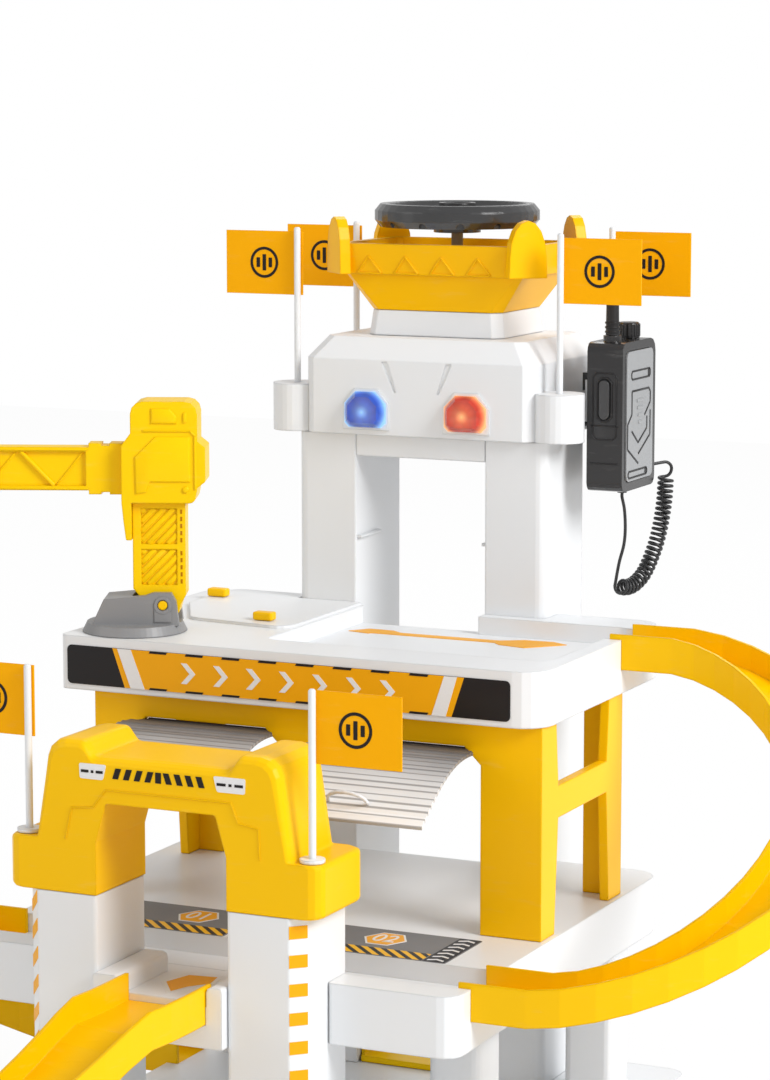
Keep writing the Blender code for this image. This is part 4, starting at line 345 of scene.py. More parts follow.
class Graph:

    def __init__(self, name):
        self.material = bpy.data.materials.new(name)
        self.material.use_nodes = True
        self.tree = self.material.node_tree
        self.shader = self.tree.nodes["Principled BSDF"]

    def plug(self, socket, value):
        if isinstance(value, Wire):
            self.tree.links.new(value.socket, socket)
        elif hasattr(value, "__len__") and len(value) == 3 and len(socket.default_value) == 4:
            socket.default_value = (*value, 1.0)
        else:
            socket.default_value = value

    def add(self, kind, settings=None, values=None, out=0):
        node = self.tree.nodes.new(kind)
        for key, value in (settings or {}).items():
            if key == "stops":
                for place, tone in value:
                    stop = node.color_ramp.elements.new(place)
                    stop.color = (tone, tone, tone, 1.0)
                node.color_ramp.elements.remove(node.color_ramp.elements[0])
                node.color_ramp.elements.remove(node.color_ramp.elements[-1])
            else:
                setattr(node, key, value)
        for key, value in (values or {}).items():
            self.plug(node.inputs[key], value)
        return Wire(self, node.outputs[out])

    def spot(self, scale=(1, 1, 1), shift=(0, 0, 0), turn=(0, 0, 0)):
        values = {"Scale": scale, "Location": shift, "Rotation": turn}
        values["Vector"] = self.add("ShaderNodeTexCoord", out="Object")
        return self.add("ShaderNodeMapping", None, values)

    def noise(self, spot, scale, detail=2.0, rough=0.5):
        values = {"Vector": spot, "Scale": scale, "Detail": detail, "Roughness": rough}
        return self.add("ShaderNodeTexNoise", None, values)

    def ramp(self, value, *stops):
        return self.add("ShaderNodeValToRGB", {"stops": stops}, {"Fac": value})

    def mix(self, share, first, second):
        return self.add("ShaderNodeMix", {"data_type": "RGBA"}, {0: share, 6: first, 7: second}, 2)

    def along(self, spot, way):
        return self.add("ShaderNodeVectorMath", {"operation": "DOT_PRODUCT"}, {0: spot, 1: way}, "Value")

    def bump(self, height, strength, distance, **more):
        values = {"Height": height, "Strength": strength, "Distance": distance}
        return self.add("ShaderNodeBump", None, {**values, **more})

    def finish(self, **values):
        for key, value in values.items():
            self.plug(self.shader.inputs[socketNames[key]], value)
        return self.material


def shaded(colour, share):
    return tuple(value * share for value in colour)


# Plastics and prints

def mouldedPlastic(name, colour, deep=0.93, rough=0.34, coat=0.04, grain=0.03, gloss=0.12, soft=0.0016):
    graph = Graph(name)
    spot = graph.spot()
    drift = graph.noise(spot, scale=7.0)
    skin = graph.noise(spot, scale=1100.0)
    slanted = graph.spot(scale=(1, 1, 6), turn=(0.5, 0.3, 0.9))
    rubbed = graph.ramp(graph.noise(slanted, scale=45.0, detail=3.0, rough=0.6), (0.60, 0.0), (0.78, 1.0))
    tone = graph.mix(drift, shaded(colour, deep), colour)
    tone = graph.mix(rubbed * 0.03, tone, (0.9, 0.9, 0.88))
    edge = graph.add("ShaderNodeBevel", {"samples": 4}, {"Radius": soft})
    roughness = drift * 0.06 + skin * 0.05 + rubbed * 0.10 + (rough - 0.06)
    return graph.finish(colour=tone, rough=roughness, coat=coat, coatRough=0.15, gloss=gloss,
                        normal=graph.bump(skin, grain, 0.0002, Normal=edge))


def printedSheet(name, colour, rough=0.42):
    graph = Graph(name)
    spot = graph.spot()
    dots = graph.noise(spot, scale=1500.0, detail=1.0)
    film = graph.noise(spot, scale=40.0, detail=3.0)
    tone = graph.mix(dots * 0.35 + film * 0.3, shaded(colour, 0.86), colour)
    return graph.finish(colour=tone, rough=film * 0.14 + (rough - 0.07), gloss=0.2,
                        normal=graph.bump(film, 0.03, 0.0003))


def stripedSheet(name, first, second, way, pitch, share):
    graph = Graph(name)
    spot = graph.spot()
    stripe = (graph.along(spot, way) / pitch % 1.0) < share
    film = graph.noise(spot, scale=60.0, detail=3.0)
    return graph.finish(colour=graph.mix(stripe, second, first), rough=film * 0.12 + 0.36, gloss=0.2,
                        normal=graph.bump(film, 0.03, 0.0003))


def shutterMetal(name, hinge, reach, ribs):
    graph = Graph(name)
    spot = graph.spot()
    brush = graph.noise(graph.spot(scale=(2, 60, 60)), scale=14.0, detail=4.0, rough=0.6)
    cloud = graph.noise(spot, scale=22.0)
    # Painted shade: the door is drawn dark near its hinge and fades to plain silver towards its far edge
    out = (hinge - graph.along(spot, (0, 1, 0))) / reach
    drift = out + cloud * 0.14 - 0.07
    share = graph.ramp(drift, (0.0, 0.0), (0.24, 0.12), (0.46, 0.34), (0.68, 0.74), (0.94, 1.0))
    line = abs((out * ribs + 100.0) % 1.0 - 0.5) * 2.0
    tone = graph.mix(share, (0.050, 0.043, 0.042), (0.93, 0.93, 0.93))
    tone = graph.mix(graph.ramp(line, (0.66, 0.0), (0.84, 1.0)) * 0.62, tone, (0.10, 0.09, 0.088))
    tone = graph.mix(brush * 0.08, tone, (0.42, 0.41, 0.40))
    return graph.finish(colour=tone, rough=brush * 0.14 + 0.30, gloss=0.3,
                        normal=graph.bump(line * 3.0 + brush, 0.25, 0.0003))


def lampLens(name, colour, bright, centre, reach=0.016):
    graph = Graph(name)
    spot = graph.spot(shift=[-value for value in centre])
    away = graph.add("ShaderNodeVectorMath", {"operation": "LENGTH"}, {0: spot}, "Value")
    facets = graph.add("ShaderNodeTexVoronoi", {"distance": "EUCLIDEAN"}, {"Vector": spot, "Scale": 160.0})
    lit = graph.ramp(away / reach, (0.0, 1.0), (0.30, 0.42), (0.75, 0.10), (1.0, 0.03))
    tone = graph.mix(facets * 0.7, colour, shaded(colour, 0.45))
    glow = graph.mix(lit * 0.8, shaded(colour, 0.35), bright)
    return graph.finish(colour=tone, rough=facets * 0.05 + 0.06, coat=0.8, coatRough=0.03,
                        glow=graph.mix(lit, (0, 0, 0), glow), glowStrength=0.9,
                        normal=graph.bump(facets, 0.25, 0.0008))


def cordSkin(name):
    graph = Graph(name)
    dust = graph.noise(graph.spot(), scale=240.0, detail=3.0, rough=0.6)
    tone = graph.mix(dust * 0.5, (0.011, 0.011, 0.012), (0.03, 0.03, 0.031))
    return graph.finish(colour=tone, rough=dust * 0.2 + 0.36, coat=0.15,
                        normal=graph.bump(dust, 0.08, 0.0002))


def panelSilver(name):
    graph = Graph(name)
    spot = graph.spot()
    flakes = graph.add("ShaderNodeTexVoronoi", None, {"Vector": spot, "Scale": 2200.0}, "Color")
    cloud = graph.noise(spot, scale=30.0)
    tone = graph.mix(graph.along(flakes, (0.25, 0.25, 0.0)), (0.33, 0.34, 0.35), (0.50, 0.51, 0.52))
    return graph.finish(colour=tone, rough=cloud * 0.1 + 0.34, metal=0.35, coat=0.15,
                        normal=graph.bump(cloud, 0.04, 0.0003))


colours = {
    "white": (0.80, 0.815, 0.832),
    "yellow": (0.97, 0.56, 0.0),
    "orange": (0.98, 0.52, 0.0),
    # painted light: the frame's yellow is set brighter than the yellow plastic to make up for the shade that
    # falls on the frame
    "litFrameYellow": (1.0, 0.555, 0.0),
    "lightYellow": (0.98, 0.62, 0.0),
    "slotShade": (0.50, 0.19, 0.0),
    "grey": (0.265, 0.265, 0.27),
    "black": (0.022, 0.021, 0.022),
    "satinBlack": (0.0198, 0.0189, 0.0198),
    "glossBlack": (0.026, 0.026, 0.027),
    # painted highlight: the talk button is the radio body's black plastic, drawn lighter to stand in for its
    # highlights
    "litButtonBlack": (0.060, 0.060, 0.062),
    "ink": (0.016, 0.013, 0.013),
    "asphalt": (0.23, 0.23, 0.235),
    "printOrange": (0.97, 0.435, 0.0),
    "printWhite": (0.88, 0.88, 0.88),
    "warning": (0.90, 0.50, 0.01),
}


def plastic(name, colour, **values):
    return mouldedPlastic(name, colours[colour], **values)


print("scene: materials")
whitePlastic = plastic("whitePlastic", "white", deep=0.97, rough=0.36, gloss=0.35, soft=0.0018)
yellowPlastic = plastic("yellowPlastic", "yellow")
orangePlastic = plastic("orangePlastic", "orange")
# painted light: a brighter copy of the yellow plastic, with less darkening, for the shaded frame
litFramePlastic = plastic("litFramePlastic", "litFrameYellow", deep=0.98)
lightPlastic = plastic("lightYellowPlastic", "lightYellow")
greyPlastic = plastic("greyPlastic", "grey", deep=0.88, rough=0.40, coat=0.05, grain=0.06, gloss=0.4,
                      soft=0.0009)
blackPlastic = plastic("blackPlastic", "black", deep=0.7, rough=0.20, coat=0.2, gloss=0.5, soft=0.0012)
glossBlack = plastic("glossBlackPlastic", "glossBlack", deep=0.8, rough=0.24, coat=0.7, grain=0.02, gloss=0.6,
                     soft=0.0020)
# painted highlight: a lighter copy of the radio's black plastic for the talk button
litButtonBlack = plastic("buttonBlackPlastic", "litButtonBlack", deep=0.8, coat=0.1, grain=0.01, gloss=0.4,
                      soft=0.0012)
slotShade = plastic("slotShadePlastic", "slotShade", deep=0.9, rough=0.5, coat=0.0, gloss=0.1, soft=0.0003)
satinBlack = plastic("satinBlackPlastic", "satinBlack", deep=0.7, rough=0.38, coat=0.05, grain=0.08,
                     gloss=0.35, soft=0.0009)
flagPlastic = plastic("flagPlastic", "printOrange", deep=0.96, rough=0.45, coat=0.01, grain=0.02, gloss=0.08,
                      soft=0.0006)
blackInk = printedSheet("blackInk", colours["ink"])
orangeInk = printedSheet("orangeInk", colours["printOrange"])
whiteInk = printedSheet("whiteInk", colours["printWhite"])
asphaltInk = printedSheet("asphaltInk", colours["asphalt"], rough=0.6)
warningInk = stripedSheet("warningBand", colours["warning"], colours["ink"], way=(1.0, 1.0, 0.0),
                          pitch=0.0088, share=0.52)
silverPanel = panelSilver("silverPanel")
cordBlack = cordSkin("cordSkin")
blueLens = lampLens("blueLens", (0.015, 0.085, 0.62), (0.45, 0.85, 1.0), centre=(-0.0365, 0.134, 0.466))
redLens = lampLens("redLens", (0.68, 0.035, 0.012), (1.0, 0.72, 0.25), centre=(0.0365, 0.134, 0.466))
shutter = shutterMetal("shutterMetal", hinge=-0.027, reach=0.088, ribs=20.0)


def dressNodes(names, material):
    for name in names.split():
        for slot in cadNodes[name].material_slots:
            slot.material = material


dressNodes("base_plate mid_deck porch upper_deck gate_pillar_left gate_pillar_right", whitePlastic)
dressNodes("tower_pier_left tower_pier_right tower_lintel tower_head helipad_collar", whitePlastic)
dressNodes("gate_pole_left gate_pole_right pole_front_left pole_front_right", whitePlastic)
dressNodes("pole_rear_left pole_rear_right radio_bracket door_handle_left door_handle_right", whitePlastic)
dressNodes("gate_arch right_ramp left_ramp front_ramp wheel_stop_front wheel_stop_rear", yellowPlastic)
dressNodes("crane_pin hook_pin", yellowPlastic)
dressNodes("leg_frame", litFramePlastic)
dressNodes("helipad", orangePlastic)
dressNodes("gate_flag_left gate_flag_right flag_front_left flag_front_right", flagPlastic)
dressNodes("flag_rear_left flag_rear_right", flagPlastic)
dressNodes("lift_car crane_mast crane_head crane_boom", lightPlastic)
dressNodes("crane_turntable winding_drum", greyPlastic)
dressNodes("door_left door_right", shutter)
dressNodes("handwheel", glossBlack)
dressNodes("radio_body radio_knob", blackPlastic)
dressNodes("talk_button", litButtonBlack)
dressNodes("crane_hook radio_clip radio_antenna cord_socket", satinBlack)
dressNodes("radio_face", silverPanel)
dressNodes("lens_blue", blueLens)
dressNodes("lens_red", redLens)


# Floor and backdrop

def makeFloor():
    mesh = bmesh.new()
    bmesh.ops.create_grid(mesh, x_segments=8, y_segments=8, size=view["floorSize"] / 2)
    bmesh.ops.translate(mesh, verts=mesh.verts, vec=(0, 0, -view["floorDrop"]))
    data = bpy.data.meshes.new("floor")
    mesh.to_mesh(data)
    mesh.free()
    floor = bpy.data.objects.new("floor", data)
    bpy.context.scene.collection.objects.link(floor)
    graph = Graph("floorPaper")
    direct = graph.add("ShaderNodeLightPath", out="Is Camera Ray")
    glossy = graph.add("ShaderNodeLightPath", out="Is Glossy Ray")
    fibre = graph.noise(graph.spot(), scale=90.0, detail=3.0)
    paper = graph.mix(fibre, shaded(view["floorColour"], 0.98), view["floorColour"])
    graph.finish(colour=paper, rough=0.8, normal=graph.bump(fibre, 0.02, 0.0003))
    white = graph.add("ShaderNodeEmission", None, {"Strength": 1.0})
    share = direct.sum("MAXIMUM", direct, glossy) * view["floorWhite"]
    surface = Wire(graph, graph.shader.outputs[0])
    blend = graph.add("ShaderNodeMixShader", None, {0: share, 1: surface, 2: white})
    graph.plug(graph.tree.nodes["Material Output"].inputs["Surface"], blend)
    data.materials.append(graph.material)


makeFloor()


# Making pieces

# Marks reach a little into the surface that they sit on: "sunk" for moulded ones, "low" for printed ones
nearly = 1e-7
sunk = 0.0002
ink = {"proud": 0.0003, "low": -0.0001}


def facing(origin, across, up):
    across = Vector(across).normalized()
    up = Vector(up)
    out = across.cross(up).normalized()
    up = out.cross(across)
    place = Matrix((across, up, out)).transposed().to_4x4()
    return Matrix.Translation(origin) @ place


def fromFront(node):
    return facing((0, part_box(node)[0].y, 0), (1, 0, 0), (0, 0, 1))


def fromAbove(level):
    return facing((0, 0, level), (1, 0, 0), (0, 1, 0))


def addPart(mesh, part, place):
    part.transform(place)
    data = bpy.data.meshes.new("part")
    part.to_mesh(data)
    part.free()
    mesh.from_mesh(data)
    bpy.data.meshes.remove(data)


def thicken(part, rise):
    made = bmesh.ops.extrude_face_region(part, geom=part.faces[:], use_keep_orig=True)
    top = [item for item in made["geom"] if isinstance(item, bmesh.types.BMVert)]
    bmesh.ops.translate(part, verts=top, vec=(0, 0, rise))
    bmesh.ops.recalc_face_normals(part, faces=part.faces[:])


def softenEdges(part, edges, size, steps):
    bmesh.ops.bevel(part, geom=edges, offset=size, offset_type="OFFSET", segments=steps, profile=0.5,
                    affect="EDGES", clamp_overlap=True, material=-1)


def addPlate(mesh, corners, thick, place, rounding=0.0, bevel=0.0, steps=3, low=0.0):
    part = bmesh.new()
    part.faces.new([part.verts.new((u, v, low)) for u, v in corners])
    if rounding > 0:
        bmesh.ops.bevel(part, geom=part.verts[:], offset=rounding, offset_type="OFFSET", segments=steps,
                        profile=0.5, affect="VERTICES", clamp_overlap=True, material=-1)
    thicken(part, thick - low)
    if bevel > 0:
        rim = [edge for edge in part.edges if all(abs(vert.co.z - thick) < nearly for vert in edge.verts)]
        softenEdges(part, rim, bevel, 2)
    addPart(mesh, part, place)


def addInk(mesh, corners, place):
    addPlate(mesh, corners, ink["proud"], place, low=ink["low"])


def oblong(left, right, low, high):
    return [(left, low), (right, low), (right, high), (left, high)]


def slanted(corners, low, high):
    lowLeft, lowRight, highRight, highLeft = corners
    return [(lowLeft, low), (lowRight, low), (highRight, high), (highLeft, high)]


def leaning(left, right, lean, low, high):
    return slanted((left, right, right + lean, left + lean), low, high)


def addBox(mesh, low, high, place, edge, steps):
    part = bmesh.new()
    low, high = Vector(low), Vector(high)
    bmesh.ops.create_cube(part, size=1.0)
    bmesh.ops.scale(part, vec=high - low, verts=part.verts)
    bmesh.ops.translate(part, vec=(low + high) / 2, verts=part.verts)
    softenEdges(part, part.edges[:], edge, steps)
    addPart(mesh, part, place)


def addRing(mesh, outer, inner, thick, place, sides, low):
    part = bmesh.new()
    rims = []
    for radius in (outer, inner):
        made = bmesh.ops.create_circle(part, segments=sides, radius=radius)
        rims += list({edge for vert in made["verts"] for edge in vert.link_edges})
    bmesh.ops.bridge_loops(part, edges=rims)
    bmesh.ops.translate(part, vec=(0, 0, low), verts=part.verts[:])
    thicken(part, thick - low)
    addPart(mesh, part, place)


def addBar(mesh, start, end, width, height, place, bevel=0.0):
    start, end = Vector(start), Vector(end)
    way = (end - start).normalized()
    side = Vector((-way.y, way.x)) * width / 2
    corners = [start - side, end - side, end + side, start + side]
    addPlate(mesh, [tuple(corner) for corner in corners], height, place, bevel=bevel, low=-sunk)


def addFrame(mesh, points, width, height, place, bevel=0.0):
    part = bmesh.new()
    part.faces.new([part.verts.new((u, v, -sunk)) for u, v in points])
    part.normal_update()
    bmesh.ops.inset_region(part, faces=part.faces[:], use_boundary=True, use_even_offset=True,
                           thickness=width, depth=0.0)
    inner = [face for face in part.faces if all(len(edge.link_faces) == 2 for edge in face.edges)]
    bmesh.ops.delete(part, geom=inner, context="FACES")
    thicken(part, height + sunk)
    if bevel > 0:
        rim = [edge for edge in part.edges if all(abs(vert.co.z - height) < nearly for vert in edge.verts)]
        rim = [edge for edge in rim if any(abs(face.normal.z) < 0.5 for face in edge.link_faces)]
        softenEdges(part, rim, bevel, 1)
    addPart(mesh, part, place)


def cutOblong(left, right, low, high, cut):
    return [(left + cut, low), (right - cut, low), (right, low + cut), (right, high - cut),
            (right - cut, high), (left + cut, high), (left, high - cut), (left, low + cut)]


def finishPiece(name, mesh, material, body, angle=35.0):
    data = bpy.data.meshes.new(name)
    mesh.to_mesh(data)
    mesh.free()
    data.materials.append(material)
    data.shade_smooth()
    data.set_sharp_from_angle(angle=math.radians(angle))
    piece = bpy.data.objects.new(name, data)
    bpy.context.scene.collection.objects.link(piece)
    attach(piece, body)


# Sign along the upper deck's front
# A slanted outline has its x values at the lower left, lower right, upper right and upper left

sign = {
    "left": -0.1632, "right": 0.1462, "low": 0.3018, "high": 0.3270, "corner": 0.0032, "cornerSteps": 5,
    "edge": 0.0001, "bevel": 0.0002,
    "boardLow": -0.0003, "boardTop": 0.0006, "panelLow": 0.0004, "panelTop": 0.0008,
    "markLow": 0.0006, "markTop": 0.0010,
    "panel": (-0.1208, 0.1075, 0.1158, -0.1297),
    "bars": ((-0.1165, -0.1063, -0.1163, -0.1261), (0.0942, 0.1037, 0.1112, 0.1026)),
    "dashes": 8, "dashStart": -0.1031, "dashPitch": 0.0260, "dashLength": 0.0124, "dashHeight": 0.0014,
    "dashLean": 0.0008,
    "chevrons": 7, "chevronStart": -0.0800, "chevronPitch": 0.0232, "chevronRise": 0.0066,
    "chevronThick": 0.0042, "chevronLean": 0.0062,
}


def makeSign():
    place = fromFront("upper_deck")
    low, high = sign["low"] + sign["edge"], sign["high"] - sign["edge"]
    markLow, markTop = sign["markLow"], sign["markTop"]
    board, panel, bars, dashes = (bmesh.new() for count in range(4))
    addPlate(board, oblong(sign["left"], sign["right"], sign["low"], sign["high"]), sign["boardTop"], place,
             rounding=sign["corner"], bevel=sign["bevel"], steps=sign["cornerSteps"], low=sign["boardLow"])
    addPlate(panel, slanted(sign["panel"], low, high), sign["panelTop"], place, low=sign["panelLow"])
    for corners in sign["bars"]:
        addPlate(bars, slanted(corners, low, high), markTop, place, low=markLow)
    middle = (sign["low"] + sign["high"]) / 2
    rise, thick, lean = sign["chevronRise"], sign["chevronThick"], sign["chevronLean"]
    for index in range(sign["chevrons"]):
        left = sign["chevronStart"] + index * sign["chevronPitch"]
        chevron = [(left, middle - rise), (left + thick, middle - rise), (left + thick + lean, middle),
                   (left + thick, middle + rise), (left, middle + rise), (left + lean, middle)]
        addPlate(bars, chevron, markTop, place, low=markLow)
    for index in range(sign["dashes"]):
        left = sign["dashStart"] + index * sign["dashPitch"]
        right = left + sign["dashLength"]
        for edge in (low, high - sign["dashHeight"]):
            dash = leaning(left, right, sign["dashLean"], edge, edge + sign["dashHeight"])
            addPlate(dashes, dash, markTop, place, low=markLow)
    finishPiece("sign_board", board, blackInk, "garage")
    finishPiece("sign_panel", panel, orangeInk, "garage")
    finishPiece("sign_bars", bars, whiteInk, "garage")
    finishPiece("sign_dashes", dashes, blackInk, "garage")


print("scene: sign")
makeSign()


# Gate: a ridge around the arch, the height band on it, and stripes on the pillars' chamfers

archRidge = {
    "points": ((-0.0719, 0.2418), (-0.0674, 0.2613), (-0.0527, 0.2627), (-0.0443, 0.2738), (0.0390, 0.2738),
               (0.0436, 0.2623), (0.0569, 0.2600), (0.0574, 0.2418)),
    "width": 0.0011, "proud": 0.0006, "bevel": 0.0003, "leastTurn": 0.4,
}

band = {
    "low": 0.2796, "high": 0.2888, "corner": 0.0012,
    "spans": ((-0.0615, -0.0448), (0.0288, 0.0482)),
    "shifts": ((0.0, -0.0010, 0.0012, -0.0004), (0.0012, 0.0, 0.0004, -0.0012)),
    "lines": ((0.06, 0.36), (0.46, 0.56), (0.66, 0.94)),
    "lineHalf": 0.0008, "lineLow": 0.0001, "lineTop": 0.0005,
    "dashes": 9, "dashStart": -0.0395, "dashPitch": 0.0072, "dashLength": 0.0038, "dashLean": 0.0022,
    "dashEdge": 0.0014,
}

stripes = {
    "chamfer": 0.0083, "inset": 0.0002, "height": 0.0076, "pitch": 0.0172, "top": 0.2045, "count": 11,
    "lift": 0.004, "slant": 0.008, "highest": 0.2083, "lowest": 0.014,
}


def makeArchRidge():
    ridge = bmesh.new()
    outer, inner = [], []
    points = vectors(archRidge["points"])
    half = archRidge["width"] / 2
    for index, point in enumerate(points):
        before = (point - points[index - 1]).normalized() if index > 0 else (points[1] - point).normalized()
        after = (points[index + 1] - point).normalized() if index < len(points) - 1 else before
        way = before + after
        across = Vector((-way.y, way.x)).normalized()
        reach = half / max(archRidge["leastTurn"], across.dot(Vector((-before.y, before.x))))
        outer.append(tuple(point + across * reach))
        inner.append(tuple(point - across * reach))
    addPlate(ridge, outer + inner[::-1], archRidge["proud"], fromFront("gate_arch"), bevel=archRidge["bevel"],
             low=-sunk)
    finishPiece("arch_ridge", ridge, yellowPlastic, "garage")


def makeBand():
    place = fromFront("gate_arch")
    low, high = band["low"], band["high"]
    middle = (low + high) / 2
    lineLow, lineHigh = middle - band["lineHalf"], middle + band["lineHalf"]
    ends, bars = bmesh.new(), bmesh.new()
    for (left, right), shifts in zip(band["spans"], band["shifts"]):
        corners = [edge + shift for edge, shift in zip((left, right, right, left), shifts)]
        addPlate(ends, slanted(corners, low, high), ink["proud"], place, rounding=band["corner"],
                 low=ink["low"])
        run = right - left
        for start, end in band["lines"]:
            line = oblong(left + run * start, left + run * end, lineLow, lineHigh)
            addPlate(bars, line, band["lineTop"], place, low=band["lineLow"])
    centre = band["dashes"] // 2
    for index in range(band["dashes"]):
        left = band["dashStart"] + index * band["dashPitch"]
        right = left + band["dashLength"]
        lean = 0.0 if index == centre else math.copysign(band["dashLean"], centre - index)
        addInk(bars, leaning(left, right, lean, low + band["dashEdge"], high - band["dashEdge"]), place)
    finishPiece("gate_band_ends", ends, whiteInk, "garage")
    finishPiece("gate_band_bars", bars, blackInk, "garage")


def makePillarMarks():
    right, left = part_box("gate_pillar_right")[1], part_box("gate_pillar_left")[0]
    chamfer, tall, slant = stripes["chamfer"], stripes["height"], stripes["slant"]
    start, end = stripes["inset"], chamfer * math.sqrt(2) - stripes["inset"]
    marks = bmesh.new()
    place = facing((right.x - chamfer, left.y, 0), (1, 1, 0), (0, 0, 1))
    for index in range(stripes["count"]):
        top = stripes["top"] - index * stripes["pitch"]
        addInk(marks, oblong(start, end, top - tall, top), place)
    place = facing((left.x, left.y + chamfer, 0), (1, -1, 0), (0, 0, 1))
    for index in range(stripes["count"] + 1):
        top = stripes["top"] - index * stripes["pitch"] + stripes["lift"]
        high = min(top, stripes["highest"])
        low = top - tall
        if low - slant > stripes["lowest"]:
            addInk(marks, [(start, low - slant), (end, low), (end, high), (start, high - slant)], place)
    finishPiece("pillar_marks", marks, orangeInk, "garage")


print("scene: gate marks")
makeArchRidge()
makeBand()
makePillarMarks()


# Play mats on the middle deck

mats = {
    "left": (-0.1180, -0.0200), "right": (0.0200, 0.1300), "front": -0.1002, "rear": -0.0425,
    "thick": 0.0003, "layer": 0.0001, "markProud": 0.0003, "corner": 0.0015, "bevel": 0.00008,
    "band": 0.0160, "bandEdge": 0.0010, "strip": 0.0150, "stripEdge": 0.0006,
    "chevrons": 7, "chevronStart": 0.0024, "chevronPitch": 0.0078, "chevronHalf": 0.0052,
    "chevronRise": 0.0024, "chevronThick": 0.0022,
    "badges": (("01", -0.0560, -0.0640), ("02", 0.0740, -0.0640)),
    "badgeSize": 0.0136, "badgeInside": 0.90, "badgeStretch": (1.06, 1.15),
    "digitSize": 0.0165, "digitStretch": 1.35, "digitThick": 0.0004,
}


def addText(mesh, body, size, place, thick):
    data = bpy.data.curves.new("label", "FONT")
    data.body = body
    data.size = size
    data.align_x = "CENTER"
    data.align_y = "CENTER"
    holder = bpy.data.objects.new("label", data)
    bpy.context.scene.collection.objects.link(holder)
    bpy.context.view_layer.update()
    flat = bpy.data.meshes.new_from_object(holder)
    part = bmesh.new()
    part.from_mesh(flat)
    bpy.data.objects.remove(holder)
    bpy.data.curves.remove(data)
    bpy.data.meshes.remove(flat)
    bmesh.ops.remove_doubles(part, verts=part.verts[:], dist=1e-6)
    thicken(part, thick)
    addPart(mesh, part, place)


def hexagon(size):
    wide, tall = mats["badgeStretch"]
    angles = [math.radians(60 * step) for step in range(6)]
    return [(size * math.cos(angle) * wide, size * math.sin(angle) * tall) for angle in angles]


def makeMats():
    place = fromAbove(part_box("mid_deck")[1].z)
    thick, layer, front, rear = mats["thick"], mats["layer"], mats["front"], mats["rear"]
    sheets, bands, strip, chevrons, rims, badges, digits = (bmesh.new() for count in range(7))
    for left, right in (mats["left"], mats["right"]):
        addPlate(sheets, oblong(left, right, front, rear), thick, place, rounding=mats["corner"],
                 bevel=mats["bevel"])
        end = right - mats["bandEdge"] - (mats["strip"] if left > 0 else 0.0)
        warning = oblong(left + mats["bandEdge"], end, front + mats["bandEdge"], front + mats["band"])
        addPlate(bands, warning, thick + layer, place, low=thick - layer)
    right, edge = mats["right"][1], mats["stripEdge"]
    dark = oblong(right - mats["strip"], right - edge, front + edge, rear - edge)
    addPlate(strip, dark, thick + layer, place, low=thick - layer)
    middle = right - mats["strip"] / 2 - edge / 2
    half, rise, wide = mats["chevronHalf"], mats["chevronRise"], mats["chevronThick"]
    for index in range(mats["chevrons"]):
        low = front + mats["chevronStart"] + index * mats["chevronPitch"]
        chevron = [(middle - half, low), (middle, low + rise), (middle + half, low),
                   (middle + half, low + wide), (middle, low + rise + wide), (middle - half, low + wide)]
        addPlate(chevrons, chevron, thick + mats["markProud"], place, low=thick)
    for label, x, y in mats["badges"]:
        spot = place @ Matrix.Translation((x, y, 0))
        addPlate(rims, hexagon(mats["badgeSize"]), thick + 2 * layer, spot, low=thick - layer)
        inside = hexagon(mats["badgeSize"] * mats["badgeInside"])
        addPlate(badges, inside, thick + mats["markProud"], spot, low=thick)
        stretch = Matrix.Diagonal((1.0, mats["digitStretch"], 1.0, 1.0))
        spot = spot @ Matrix.Translation((0, 0, thick + layer)) @ stretch
        addText(digits, label, mats["digitSize"], spot, mats["digitThick"])
    finishPiece("mat_sheets", sheets, asphaltInk, "garage")
    finishPiece("mat_bands", bands, warningInk, "garage")
    finishPiece("mat_strip", strip, blackInk, "garage")
    finishPiece("mat_chevrons", chevrons, whiteInk, "garage")
    finishPiece("mat_badge_rims", rims, whiteInk, "garage")
    finishPiece("mat_badges", badges, orangeInk, "garage")
    finishPiece("mat_digits", digits, whiteInk, "garage")


# Road arrows on the porch and the upper lane

arrows = {
    "porch": ((-0.0253, -0.1690), (-0.0187, -0.1464), (0.0030, -0.1431), (0.0062, -0.1601),
              (-0.0051, -0.1738), (-0.0105, -0.1895)),
    "porchLevel": 0.152, "porchInside": 0.82, "porchLow": 0.0001, "porchTop": 0.0005,
    "lane": ((-0.0365, 0.1136), (-0.0200, 0.1100), (-0.0195, 0.1122), (0.0700, 0.1122), (0.0760, 0.1060),
             (0.0954, 0.1018), (0.1166, 0.1237), (0.1050, 0.1300), (0.0850, 0.1290), (0.0707, 0.1203),
             (-0.0010, 0.1203), (-0.0090, 0.1262), (-0.0270, 0.1265)),
    "laneLevel": 0.321, "laneTop": 0.0004,
}


def makeArrows():
    edges, orange = bmesh.new(), bmesh.new()
    place = fromAbove(arrows["porchLevel"])
    points = arrows["porch"]
    centre = Vector((sum(point[0] for point in points), sum(point[1] for point in points))) / len(points)
    inside = [tuple(centre + (point - centre) * arrows["porchInside"]) for point in vectors(points)]
    addInk(edges, points, place)
    addPlate(orange, inside, arrows["porchTop"], place, low=arrows["porchLow"])
    addPlate(orange, arrows["lane"], arrows["laneTop"], fromAbove(arrows["laneLevel"]), low=ink["low"])
    finishPiece("arrow_edges", edges, whiteInk, "garage")
    finishPiece("arrows", orange, orangeInk, "garage")


print("scene: mats and arrows")
makeMats()
makeArrows()


# Flags, tray ornaments and lamps

flags = {
    "ringOuter": 0.0106, "ringInner": 0.0087, "ringSides": 40, "proud": 0.0002,
    "bars": ((-0.0046, 0.0066), (0.0, 0.0110), (0.0046, 0.0066)), "barWidth": 0.0026, "barCorner": 0.0004,
}

